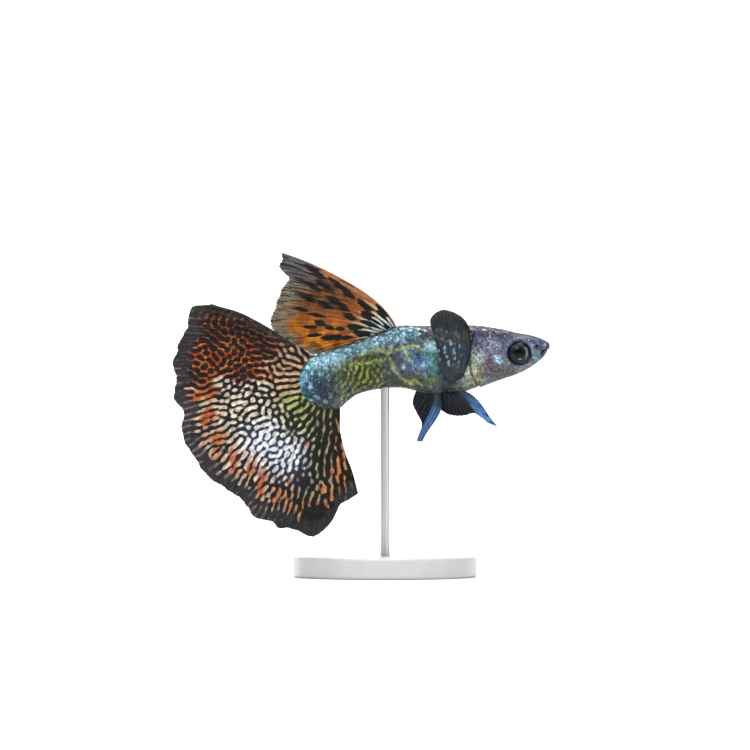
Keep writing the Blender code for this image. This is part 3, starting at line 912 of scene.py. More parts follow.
    # Heights round the body go from 1 on the ridge of the back to -1 under the belly.
    dorsal_shadow_edge: tuple[float, float] = (0.84, 0.95)
    crown_edge: tuple[float, float] = (0.7, 0.92)
    belly_edge: tuple[float, float] = (-0.75, -0.97)
    back_highlight_height: float = 0.72
    back_highlight_width: float = 0.22
    back_front: tuple[float, float] = (5.0, 3.0)
    maze_colour: str = "#949e46"
    maze_front: tuple[float, float] = (0.6, -1.2)
    maze_rear: tuple[float, float] = (-7.6, -5.8)
    maze_top: tuple[float, float] = (0.75, 0.45)
    maze: Maze = Maze((-14.0, 16.0), 24.0, 0.7, 13, 256, 11)
    maze_slant: tuple[float, float] = (0.45, 0.89)
    maze_hold: float = 0.04
    maze_lean: float = 0.55
    pattern: Array = field(init=False)

    def __post_init__(self) -> None:
        """Grow the fine maze of the rear trunk."""
        self.pattern = self.maze.grow(self.slant)

    def slant(self, x: Array, z: Array) -> tuple[Array, Array, Array, Array]:
        """Direction and kind of the trunk's maze, the same everywhere: it rises steeply towards the head.

        Args:
            x: places along the fish.
            z: heights, not used.

        Returns:
            What the maze asks for at each place.
        """
        dx, dz, hold, lean = (
            np.full(x.shape, part) for part in (*self.maze_slant, self.maze_hold, self.maze_lean)
        )
        return dx, dz, hold, lean

    def paint(self, x: Array, z: Array, high: Array) -> tuple[Array, Array]:
        """Colours of the body.

        Args:
            x: places along the fish.
            z: heights.
            high: 1 on the back's ridge to -1 under the belly.

        Returns:
            Linear colours, and how much the scales flash.
        """
        shape = x.shape
        tint = blend_colours(shape, self.start_colour, ())
        glitter = np.full(shape, 0.15)
        wx = x + self.ragged_mm * ripple(x, z, 2.2, 3)
        wz = z + self.ragged_mm * ripple(x, z, 1.8, 4)
        for patch in self.patches:
            share = patch.weight(wx, wz)
            mix_in(tint, patch.colour, share)
            glitter += (patch.glitter - glitter) * share
        rear = smooth(*self.maze_front, wx) * smooth(*self.maze_rear, wx)
        worm = smooth(0.05, 0.95, self.maze.read(self.pattern, self.maze.taps(x, z)))
        cover = 0.55 + 0.45 * smooth(-0.5, 0.5, ripple(x, z, 2.6, 5))
        cover = cover * (1 - 0.9 * self.panel.weight(wx, wz))
        mix_in(tint, self.maze_colour, 0.85 * worm * cover * rear * smooth(*self.maze_top, high))
        line = np.full(shape, 9.0)
        for path in self.lines:
            for a, b in zip(path, path[1:]):
                line = np.minimum(line, self.distance(wx, wz, a, b))
        mix_in(tint, self.line_colour, 0.85 * hill(line, self.line_width))
        back = smooth(*self.back_front, x)
        mix_in(tint, self.belly_colour, 0.8 * smooth(*self.belly_edge, high))
        # Painted highlight along the back, where the scales also glitter more.
        band = hill(high - self.back_highlight_height, self.back_highlight_width) * back
        mix_in(tint, self.back_highlight_colour, 0.6 * band)
        glitter += (1.0 - glitter) * band
        # Painted shadow of the dorsal fin on the ridge of the back.
        mix_in(tint, self.dorsal_shadow_colour, 0.9 * smooth(*self.dorsal_shadow_edge, high) * back)
        mix_in(tint, self.crown_colour, 0.9 * smooth(*self.crown_edge, high) * (1 - back))
        return tint, glitter

    @staticmethod
    def distance(x: Array, z: Array, a: tuple[float, float], b: tuple[float, float]) -> Array:
        """Distance to a straight stretch.

        Args:
            x: places along the fish.
            z: heights.
            a: its start.
            b: its end.

        Returns:
            Distances in millimetres.
        """
        run = np.array(b) - np.array(a)
        share = np.clip(((x - a[0]) * run[0] + (z - a[1]) * run[1]) / (run @ run), 0, 1)
        return np.hypot(x - a[0] - share * run[0], z - a[1] - share * run[1])


class Side(Enum):
    """The fish's two sides, as the sign of Y."""

    RIGHT = -1
    LEFT = 1


@dataclass(frozen=True)
class HeadForms:
    """Forms of the head, raised over the plain body or sunk in it, and the painted shade in its grooves, pits
    and openings.
    """

    gill_rise: float = 0.12
    gill_fade: float = 1.3
    gill_groove: float = 0.1
    cheek_radius: float = 3.0
    cheek_drop: float = 0.3
    cheek_groove: float = 0.05
    eye: tuple[float, float] = (16.72, 27.95)
    lid_radius: float = 1.72
    lid_rise: float = 0.1
    socket_edge: tuple[float, float] = (1.62, 1.28)
    socket_depth: float = 0.62
    socket_shade: float = 1.5
    nostril: tuple[float, float] = (18.95, 28.85)
    nostril_radius: float = 0.26
    nostril_rim: float = 0.05
    nostril_depth: float = 0.2
    mouth_front: tuple[float, float] = (20.5, 28.32)
    mouth_corner: tuple[float, float] = (19.5, 27.5)
    mouth_bow: float = 0.34
    lip_rise: float = 0.06
    lip_offset: float = 0.2
    gape: tuple[float, float] = (0.06, 0.14)
    gape_depth: tuple[float, float] = (0.08, 0.18)
    parted_at: float = 0.75
    chin_offset: float = 0.75
    chin_groove: float = 0.05

    def gill_cover(self, x: Array, z: Array, ahead: Array) -> tuple[Array, Array]:
        """Edge of the gill cover with the groove behind it, and the curved groove of the cheek.

        Args:
            x: places along the fish.
            z: heights.
            ahead: millimetres in front of the gill cover's edge.

        Returns:
            Heights in millimetres, and painted shade in the groove behind the edge, from 0 to 1.
        """
        rise = self.gill_rise * np.exp(-np.maximum(ahead, 0) / self.gill_fade) * smooth(-0.12, 0.06, ahead)
        rise -= self.gill_groove * hill(ahead + 0.2, 0.13)
        seam = np.abs(np.hypot(x - self.eye[0], z - self.eye[1] + self.cheek_drop) - self.cheek_radius)
        behind = smooth(16.4, 15.4, x) * smooth(25.3, 26.0, z) * smooth(30.2, 29.0, z)
        rise -= self.cheek_groove * hill(seam, 0.12) * behind
        return rise, 0.75 * hill(ahead + 0.16, 0.11)

    def eye_socket(self, x: Array, z: Array) -> tuple[Array, Array]:
        """Socket that the eyeball sits in, with its soft raised rim.

        Args:
            x: places along the fish.
            z: heights.

        Returns:
            Heights in millimetres, and painted shade round the socket's edge, from 0 to 1.
        """
        away = np.hypot(x - self.eye[0], z - self.eye[1])
        rise = self.lid_rise * hill(away - self.lid_radius, 0.2)
        rise -= self.socket_depth * smooth(*self.socket_edge, away)
        return rise, 0.55 * hill(away - self.socket_shade, 0.08)

    def nostrils(self, x: Array, z: Array) -> tuple[Array, Array]:
        """Small round nostril in its low rim.

        Args:
            x: places along the fish.
            z: heights.

        Returns:
            Heights in millimetres, and painted shade in the pit, from 0 to 1.
        """
        pit = np.hypot(x - self.nostril[0], z - self.nostril[1])
        rise = self.nostril_rim * hill(pit - self.nostril_radius, 0.09)
        rise -= self.nostril_depth * smooth(0.2, 0.06, pit)
        return rise, smooth(0.24, 0.12, pit)

    def mouth(self, x: Array, z: Array, side: Array) -> tuple[Array, Array]:
        """Slit of the mouth, bowed and slightly parted, its two lips and the groove of the chin.

        Args:
            x: places along the fish.
            z: heights.
            side: 1 on the flanks to 0 at the middle.

        Returns:
            Heights in millimetres, and painted shade in the slit, from 0 to 1.
        """
        (fx, fz), (cx, cz) = self.mouth_front, self.mouth_corner
        length = math.hypot(cx - fx, cz - fz)
        tx, tz = (cx - fx) / length, (cz - fz) / length
        down = (x - fx) * tx + (z - fz) * tz
        off = (x - fx) * tz - (z - fz) * tx
        off = off - self.mouth_bow * 4 * down * (length - down) / length**2
        near = smooth(length + 0.25, length - 0.15, down)
        parted = hill(down - self.parted_at, 0.4)
        gape = self.gape[0] + self.gape[1] * parted
        rise = near * self.lip_rise * hill(np.abs(off) - gape - self.lip_offset, 0.15)
        rise -= near * (self.gape_depth[0] + self.gape_depth[1] * parted) * hill(off, gape)
        crease = np.abs(off + self.chin_offset) + 0.6 * smooth(0.9, 0.2, down)
        rise -= self.chin_groove * hill(crease, 0.1) * smooth(2.9, 2.3, down) * side
        return rise, near * np.exp(-((off / (1.15 * gape)) ** 4))

    def relief(self, x: Array, y: Array, z: Array, ahead: Array) -> tuple[Array, Array]:
        """All the forms together.

        Args:
            x: places along the fish.
            y: distances to its left side.
            z: heights.
            ahead: millimetres in front of the gill cover's edge.

        Returns:
            Heights in millimetres, and the painted shade in the grooves, pits and openings, from 0 to 1.
        """
        side = smooth(0.5, 1.0, np.abs(y))
        rise, dark = self.gill_cover(x, z, ahead)
        for part_rise, part_shade in (self.eye_socket(x, z), self.nostrils(x, z)):
            rise += side * part_rise
            dark = np.maximum(dark, side * part_shade)
        mouth_rise, mouth_shade = self.mouth(x, z, side)
        return rise + mouth_rise, np.maximum(dark, mouth_shade)


@dataclass
class Body:
    """Head, trunk and tail stem as one skin, with the scales that lie over it."""

    markings: Markings
    sections: Rows = (
        (20.45, 28.90, 0, 0.44, 0.52, 0.80, 0.76),
        (19.70, 28.68, 0, 1.10, 1.38, 1.22, 0.76),
        (18.30, 28.45, 0, 1.80, 2.27, 1.62, 0.78),
        (16.60, 28.10, 0, 2.45, 2.80, 1.95, 0.80),
        (14.40, 27.85, 0, 3.14, 3.30, 2.22, 0.84),
        (11.90, 27.60, 0, 3.75, 3.88, 2.42, 0.88),
        (9.00, 27.35, 0, 4.15, 4.40, 2.50, 0.90),
        (6.90, 27.30, 0, 4.10, 4.50, 2.45, 0.90),
        (4.40, 27.40, 0, 3.98, 4.27, 2.32, 0.90),
        (1.90, 27.50, 4, 3.85, 3.91, 2.12, 0.90),
        (-0.60, 27.05, 11, 3.36, 3.54, 1.86, 0.92),
        (-2.90, 26.30, 18, 3.17, 3.19, 1.58, 0.94),
        (-5.00, 25.50, 23.5, 3.35, 3.11, 1.28, 0.96),
        (-7.25, 24.50, 28, 3.73, 3.73, 0.95, 1.00),
    )
    snout_cap: float = 0.2
    snout_rings: int = 14
    stem_rings: int = 34
    pace_x: tuple[float, float] = (10.0, 13.0)
    pace_mm: tuple[float, float] = (0.11, 0.055)
    stem_bulge: float = 3.5
    stem_tip_half_width: float = 0.3
    gill_cut: float = 5.0
    gill_bulge: float = 0.42
    around: int = 176
    head: HeadForms = HeadForms()
    # Colour of the painted shade in the head's grooves, pits and openings.
    painted_shade_colour: str = "#0b0d12"
    eye_radius: float = 1.45
    eye_half_depth: float = 0.80
    eye_sink: float = 0.52
    skin_sink: float = 0.05
    scale_step: float = 0.84
    scale_length: float = 1.45
    scale_width: float = 1.2
    scale_spacing: float = 0.86
    scale_thick: float = 0.035
    scale_lift: tuple[float, float] = (-0.03, 0.06)
    scale_dome: float = 0.015
    scale_points: int = 7
    # Colours of the painted glints on the scales of the trunk and of the head.
    scale_shine: tuple[str, str] = ("#c4eaf4", "#d8d8ee")
    rings: Array = field(init=False)
    places: Array = field(init=False)
    run: Array = field(init=False)

    def __post_init__(self) -> None:
        """Work out the fine table of sections and the distance along them."""
        first, last = np.array(self.sections[0]), np.array(self.sections[-1])
        turn = np.linspace(0.04, math.pi / 2, self.snout_rings)[:-1]
        front = np.tile(first, (len(turn), 1))
        front[:, 0] += self.snout_cap * np.cos(turn)
        front[:, 3:6] *= np.sin(turn)[:, None]
        fine = np.linspace(0, len(self.sections) - 1, 4000)
        rows = along(self.sections, fine)
        distance = np.concatenate([[0], np.cumsum(np.hypot(*np.diff(rows[:, :2], axis=0).T))])
        pace = np.interp(rows[:, 0], self.pace_x, self.pace_mm)
        ticks = np.concatenate([[0], np.cumsum(np.diff(distance) / pace[1:])])
        picks = np.interp(np.linspace(0, ticks[-1], int(ticks[-1])), ticks, fine)
        middle = along(self.sections, picks)
        share = np.sin(0.5 * math.pi * np.linspace(0, 1, self.stem_rings)[1:])
        radius = self.stem_radius()
        reach = self.stem_bulge * share
        height = np.sqrt(np.maximum(radius**2 - (radius - self.stem_bulge + reach) ** 2, 1e-6))
        lean = math.radians(last[2])
        end = np.tile(last, (len(share), 1))
        end[:, 0] -= reach * math.cos(lean)
        end[:, 1] -= reach * math.sin(lean)
        end[:, 3] = end[:, 4] = height
        end[:, 5] = last[5] + (self.stem_tip_half_width - last[5]) * share
        self.rings = np.concatenate([front, middle, end])
        self.places = np.concatenate([0 * turn, picks, 0 * share + len(self.sections) - 1])
        self.run = np.concatenate([[0], np.cumsum(np.hypot(*np.diff(self.rings[:, :2], axis=0).T))])

    def stem_radius(self) -> float:
        """Radius of the arc where the tail fin starts."""
        above = self.sections[-1][3]
        return (above**2 + self.stem_bulge**2) / (2 * self.stem_bulge)

    def stem_centre(self) -> tuple[float, float]:
        """Centre of the arc where the tail fin starts.

        Returns:
            Its place in fish space, as x and z.
        """
        x, z, tilt = self.sections[-1][:3]
        back = self.stem_bulge - self.stem_radius()
        return x - back * math.cos(math.radians(tilt)), z - back * math.sin(math.radians(tilt))

    def surface(self, run: Array, angle: Array) -> tuple[Array, Array, Array]:
        """Points of the body's surface.

        Args:
            run: millimetres along the body's middle from the snout.
            angle: round the body, 0 on the back and a quarter turn on the left flank.

        Returns:
            Fish-space x, y and z.
        """
        x, z, tilt, above, below, half, power = (
            np.interp(run, self.run, self.rings[:, k]) for k in range(self.rings.shape[1])
        )
        rise, side = np.cos(angle), np.sin(angle)
        up = np.copysign(np.abs(rise) ** power, rise) * np.where(rise > 0, above, below)
        out = np.copysign(np.abs(side) ** power, side) * half
        lean = np.radians(tilt)
        return x - up * np.sin(lean), out, z + up * np.cos(lean)

    def flank(self, x: Array, z: Array) -> Array:
        """Half width of the body over a place of its untilted part.

        Args:
            x: place along the fish.
            z: height.

        Returns:
            Half widths in millimetres.
        """
        order = np.argsort(self.rings[:, 0])
        middle, above, below, half, power = (
            np.interp(x, self.rings[order, 0], self.rings[order, k]) for k in (1, 3, 4, 5, 6)
        )
        height = np.where(z > middle, above, below)
        rise = np.minimum(1.0, np.abs(z - middle) / np.maximum(height, 1e-6)) ** (1 / power)
        return half * np.sqrt(1 - rise**2) ** power

    def edge(self, x: Array, angle: float) -> Array:
        """Height of the back's or the belly's line.

        Args:
            x: places along the fish.
            angle: 0 for the back, half a turn for the belly.

        Returns:
            Heights in fish space.
        """
        ex, _, ez = self.surface(self.run, np.full_like(self.run, angle))
        order = np.argsort(ex)
        return np.interp(x, ex[order], ez[order])

    def ahead_of_gill(self, place: Array, angle: Array) -> Array:
        """Distance in front of the gill cover's edge.

        Args:
            place: place in the section table.
            angle: round the body.

        Returns:
            Millimetres, negative behind the edge.
        """
        edge = self.gill_cut + self.gill_bulge * np.sin(angle) ** 2
        numbers = np.arange(len(self.sections))
        xs = [row[0] for row in self.sections]
        return np.interp(place, numbers, xs) - np.interp(edge, numbers, xs)

    def build_skin(self, finish: WetSkin) -> bpy.types.Object:
        """Make the skin.

        Args:
            finish: its material.

        Returns:
            The piece.
        """
        angle = np.linspace(0, 2 * math.pi, self.around, endpoint=False)
        run, angles = np.meshgrid(self.run, angle, indexing="ij")
        x, y, z = self.surface(run, angles)
        points = np.stack([x, y, z], axis=-1)
        wrapped = np.concatenate([points[:, -1:], points, points[:, :1]], axis=1)
        normal = normals_of(wrapped)[:, 1:-1]
        outward = np.sign((normal * (points - points.mean(axis=1, keepdims=True))).sum(axis=-1).mean())
        place = np.broadcast_to(self.places[:, None], run.shape)
        ahead = self.ahead_of_gill(place, angles)
        rise, dark = self.head.relief(x, y, z, ahead)
        points = points + normal * (outward * (rise - self.skin_sink))[..., None]
        tint, flash = self.markings.paint(x, z, np.cos(angles))
        # Painted shade in the gill groove, round the eye socket, in the nostrils and in the mouth's slit.
        opening = np.array(linear(self.painted_shade_colour))
        tint = tint * (1 - dark)[..., None] + opening * dark[..., None]
        flash = flash * (1 - dark)
        world = bent(points[..., 0], points[..., 1], points[..., 2])
        rows, columns = run.shape
        caps = []
        centres = []
        for start, ring in ((0, world[0]), ((rows - 1) * columns, world[-1])):
            centre = rows * columns + len(centres)
            numbers = start + np.arange(columns)
            after = start + (np.arange(columns) + 1) % columns
            pair = (after, numbers) if start == 0 else (numbers, after)
            caps.append(np.stack([*pair, np.full(columns, centre)], axis=-1))
            centres.append(ring.mean(axis=0))
        ends = [tint[0].mean(axis=0), tint[-1].mean(axis=0)]
        faces = [grid_quads(rows, columns, closed=True)[:, ::-1], np.concatenate(caps)[:, ::-1]]
        if outward > 0:
            faces = [f[:, ::-1] for f in faces]
        uv = np.stack([run / self.run[-1], angles / (2 * math.pi)], axis=-1).reshape(-1, 2)
        return add_mesh(
            "skin",
            np.concatenate([world.reshape(-1, 3), centres]),
            faces,
            finish.build(),
            {
                "tint": np.concatenate([tint.reshape(-1, 3), ends]),
                "flash": np.concatenate([flash.ravel(), [0.0, 0.5]]),
            },
            {"OFBake": np.concatenate([uv, uv[:1], uv[-1:]])},
        )

    def build_scales(self, finish: WetSkin) -> bpy.types.Object:
        """Make the scales as thin overlapping plates, each lifted a little at its rear edge.

        Args:
            finish: their material.

        Returns:
            The piece.
        """
        draw = np.random.default_rng(5)
        seats = self.scale_seats()
        size = draw.normal(1.0, 0.05, len(seats))[:, None, None]
        steps = self.scale_points
        b, a = np.meshgrid(np.linspace(0, 1, steps), np.linspace(-1, 1, steps), indexing="ij")
        rounded = np.sqrt(np.clip(1 - ((b - 0.35) / 0.651) ** 2, 0.02, 1))
        half = np.where(b < 0.35, 0.62 + 0.38 * b / 0.35, rounded)
        taper = np.interp(seats[:, 0], (self.run[-1] - 5, self.run[-1]), (1.0, 0.72))[:, None, None]
        run = seats[:, :1, None] + (b * self.scale_length * size * taper)
        girth = self.girth(seats[:, 0])[:, None, None]
        angle = seats[:, 1:, None] + a * half * 0.5 * self.scale_width * size * 2 * math.pi / girth
        run = np.minimum(run, self.run[-1])
        x, y, z = self.surface(run, angle)
        points = np.stack([x, y, z], axis=-1)
        middle = np.stack(self.surface(run, angle + math.pi), axis=-1)
        outward = points - (points + middle) / 2
        cross = np.cross(np.gradient(points, axis=1), np.gradient(points, axis=2))
        normal = cross / np.maximum(np.linalg.norm(cross, axis=-1, keepdims=True), 1e-9)
        normal *= np.sign((normal * outward).sum(axis=-1).mean(axis=(1, 2)))[:, None, None, None]
        front, rise = self.scale_lift
        lift = (front + rise * b + self.scale_dome * (1 - a**2))[None, ..., None]
        top = points + normal * lift
        under = points + normal * (lift - self.scale_thick)
        shells = np.stack([top, under], axis=1)
        world = bent(shells[..., 0], shells[..., 1], shells[..., 2])
        cells = steps * steps
        one = grid_quads(steps, steps)
        plate = np.concatenate([one[:, ::-1], one + cells, rim_walls(steps, steps)])
        faces = (plate[None] + (2 * cells * np.arange(len(seats)))[:, None, None]).reshape(-1, 4)
        root_x, _, root_z = self.surface(seats[:, 0], seats[:, 1])
        tint, glitter = self.markings.paint(x, z, np.cos(angle))
        _, root_glitter = self.markings.paint(root_x, root_z, np.cos(seats[:, 1]))
        # Painted highlight: one glint on each scale, a small pale spot near its middle, as light flashing off
        # its crystals.
        spark = smooth(0.25, 0.9, draw.random(len(seats)))
        near_b = draw.normal(0.5, 0.08, (len(seats), 1, 1))
        near_a = draw.normal(0.0, 0.15, (len(seats), 1, 1))
        spot = np.exp(-(((b - near_b) / 0.17) ** 2) - ((a - near_a) / 0.4) ** 2)
        flash = (root_glitter * spark)[:, None, None] * spot
        trunk_shine, head_shine = (np.array(linear(colour)) for colour in self.scale_shine)
        trunk = np.where(x < 9.5, 1.0, 0.0)[..., None]
        pale = trunk * trunk_shine + (1 - trunk) * head_shine
        tone = draw.normal(1.0, 0.13, len(seats))[:, None, None, None]
        edge = (0.8 + 0.2 * smooth(1.0, 0.85, b))[None, ..., None]
        tint = tint * tone * edge
        tint = tint + (pale - tint) * np.clip(flash * 1.25, 0, 0.95)[..., None]
        patch = np.stack(
            [
                seats[:, 0, None, None] / self.run[-1] + 0.003 * (b - 0.5)[None],
                seats[:, 1, None, None] / (2 * math.pi) + 0.003 * 0.5 * a[None],
            ],
            axis=-1,
        )
        return add_mesh(
            "scales",
            world,
            [faces],
            finish.build(),
            {"tint": both_faces(tint), "flash": both_faces(np.clip(glitter * 0.5 + 0.5 * flash, 0, 1))},
            {"OFBake": both_faces(patch)},
        )

    def scale_seats(self) -> Array:
        """Places of the scales: staggered rings from behind the gill covers and over the nape to the stem.

        Returns:
            For each scale, the millimetres from the snout and the angle round the body.
        """
        start = np.interp(self.gill_cut - 1.6, self.places, self.run)
        seats = []
        for row, run in enumerate(np.arange(start, self.run[-1] - 0.25, self.scale_step)):
            count = max(8, round(self.girth(run) / (self.scale_spacing * self.scale_width)))
            seats += [(run, 2 * math.pi * (k + 0.5 * (row % 2)) / count) for k in range(count)]
        seats = np.array(seats)
        place = np.interp(seats[:, 0], self.run, self.places)
        ahead = self.ahead_of_gill(place, seats[:, 1])
        nape = (np.cos(seats[:, 1]) > 0.75) & (ahead > -0.4)
        return seats[(ahead < -0.55) | nape]

    def girth(self, run: Array) -> Array:
        """Length round the body.

        Args:
            run: millimetres from the snout.

        Returns:
            Girths in millimetres.
        """
        above, below, half = (np.interp(run, self.run, self.rings[:, k]) for k in (3, 4, 5))
        high = (above + below) / 2
        return math.pi * (3 * (high + half) - np.sqrt((3 * high + half) * (high + 3 * half)))

    def build_eye(self, side: Side, finish: EyeGloss) -> bpy.types.Object:
        """Make one eye: a flattened ball, with a black pupil in a dark slate iris with olive and violet
        flecks, and painted silver glints beside and below the pupil.

        Args:
            side: which one.
            finish: its material.

        Returns:
            The piece.
        """
        ex, ez = self.head.eye
        depth = side.value * (float(self.flank(np.array(ex), np.array(ez))) - self.eye_sink)
        polar = np.linspace(0.0, math.pi, 72)
        round_ = np.linspace(0, 2 * math.pi, 96, endpoint=False)
        p, q = np.meshgrid(polar, round_, indexing="ij")
        ring = np.sin(p) * self.eye_radius
        bulge = 0.1 * smooth(1.15, 0.5, ring) * (np.cos(p) > 0)
        x = ex + ring * np.cos(q)
        z = ez + ring * np.sin(q)
        y = depth + side.value * (np.cos(p) * self.eye_half_depth + bulge)
        tint = blend_colours(p.shape, "#10151e", ())
        fleck = 0.5 + 0.5 * ripple(x, z, 0.5, 71)
        slate = smooth(0.6, 0.95, ring) * smooth(1.4, 1.15, ring)
        olive = fleck * smooth(0.75, 0.95, ring) * smooth(1.25, 1.05, ring)
        violet = fleck * smooth(0.85, 1.0, ring) * smooth(1.3, 1.1, ring)
        # Painted glint of light on the iris, beside the pupil towards the snout.
        silver = np.exp(-(((ring - 0.98) / 0.09) ** 2) - ((x - ex - 0.95) / 0.2) ** 2)
        mix_in(tint, "#1c2431", slate * (0.6 + 0.4 * np.cos(q - 2.6)))
        mix_in(tint, "#5b5b50", olive * smooth(0.3, 1.0, np.cos(q - 0.7)))
        mix_in(tint, "#4c4a5c", violet * smooth(0.5, 1.0, np.cos(q - 1.8)))
        mix_in(tint, "#8b8c86", 0.8 * silver)
        # Painted glint of light just below the pupil.
        mix_in(tint, "#a7b0ba", 0.7 * hill(ring - 0.76, 0.05) * smooth(0.94, 0.99, np.cos(q + 1.45)))
        mix_in(tint, "#04050a", smooth(0.74, 0.62, ring))
        mix_in(tint, "#0c0f16", 0.6 * smooth(1.26, 1.36, ring))
        world = bent(x, y, z)
        faces = grid_quads(len(polar), len(round_), closed=True)
        if side is Side.LEFT:
            faces = faces[:, ::-1]
        name = f"eyeball_{side.name.lower()}"
        return add_mesh(name, world, [faces], finish.build(), {"tint": tint})


@dataclass
class Fin:
    """A fin: a thin sheet with rays that fork towards its rim, closed all round.

    A subclass says where its rays run and how it is coloured.
    """

    body: Body
    name: str
    nodes: tuple[str, ...]
    slot: str
    rays: int
    columns: int
    rows: int
    root_thick: float = 0.34
    rim_thick: float = 0.07
    ridge: float = 0.07
    forks: tuple[float, ...] = (0.35, 0.68)
    bend_share: float = 1.0
    pleat: float = 0.05
    taper: float = 0.6
    ridge_fade: float = 0.55

    def place(self, a: Array, r: Array) -> tuple[Array, Array, Array]:
        """Middle of the sheet in fish space.

        Args:
            a: across the rays, from 0 to 1.
            r: along them, from root to rim.

        Returns:
            x, y and z.
        """
        raise NotImplementedError

    def colours(self, a: Array, r: Array, x: Array, z: Array) -> dict[str, Array]:
        """Pigment of the fin.

        Args:
            a: across the rays.
            r: along them.
            x: places along the fish.
            z: heights.

        Returns:
            The attributes ground, mark, sign and clear.
        """
        raise NotImplementedError

    def ray(self, a: Array, r: Array) -> Array:
        """Ridges of the rays, doubled at each fork.

        Args:
            a: across the rays.
            r: along them.

        Returns:
            1 on a ray to 0 between two.
        """
        share = [smooth(f - 0.08, f + 0.08, r) for f in self.forks]
        total = (0.5 + 0.5 * np.cos(2 * math.pi * a * self.rays)) ** 3
        for k, part in enumerate(share):
            finer = (0.5 + 0.5 * np.cos(2 * math.pi * a * self.rays * 2 ** (k + 1))) ** 2
            total = total + (finer - total) * part
        return total

    def build(self, finish: FinMembrane) -> bpy.types.Object:
        """Make the fin.

        Args:
            finish: its material.

        Returns:
            The piece.
        """
        a, r = np.meshgrid(np.linspace(0, 1, self.columns), np.linspace(0, 1, self.rows), indexing="ij")
        x, y, z = self.place(a, r)
        points = np.stack([x, y, z], axis=-1)
        normal = normals_of(points)
        normal *= np.sign(-normal[..., 1].mean())
        ridge = self.ray(a, r)
        half = (self.root_thick + (self.rim_thick - self.root_thick) * r**self.taper) / 2
        half = half + self.ridge * ridge * (1 - self.ridge_fade * r)
        fold = self.pleat * np.sin(2 * math.pi * a * self.rays * 2) * smooth(0.2, 0.9, r)
        front = points + normal * (half + fold)[..., None]
        back = points - normal * (half - fold)[..., None]
        sheets = np.stack([front, back])
        world = bent(sheets[..., 0], sheets[..., 1], sheets[..., 2], self.bend_share)
        cells = self.columns * self.rows
        one = grid_quads(self.columns, self.rows)
        walls = rim_walls(self.columns, self.rows)
        faces = np.concatenate([one, one[:, ::-1] + cells, walls[:, ::-1]])
        paint = self.colours(a, r, x, z)
        paint["ray"] = ridge
        values = {
            key: np.stack([np.broadcast_to(value, (*x.shape, *np.shape(value)[2:]))] * 2)
            for key, value in paint.items()
        }
        piece = add_mesh(self.name, world, [faces], finish.build(), values)
        dress(piece, self.slot, *self.nodes)
        return piece


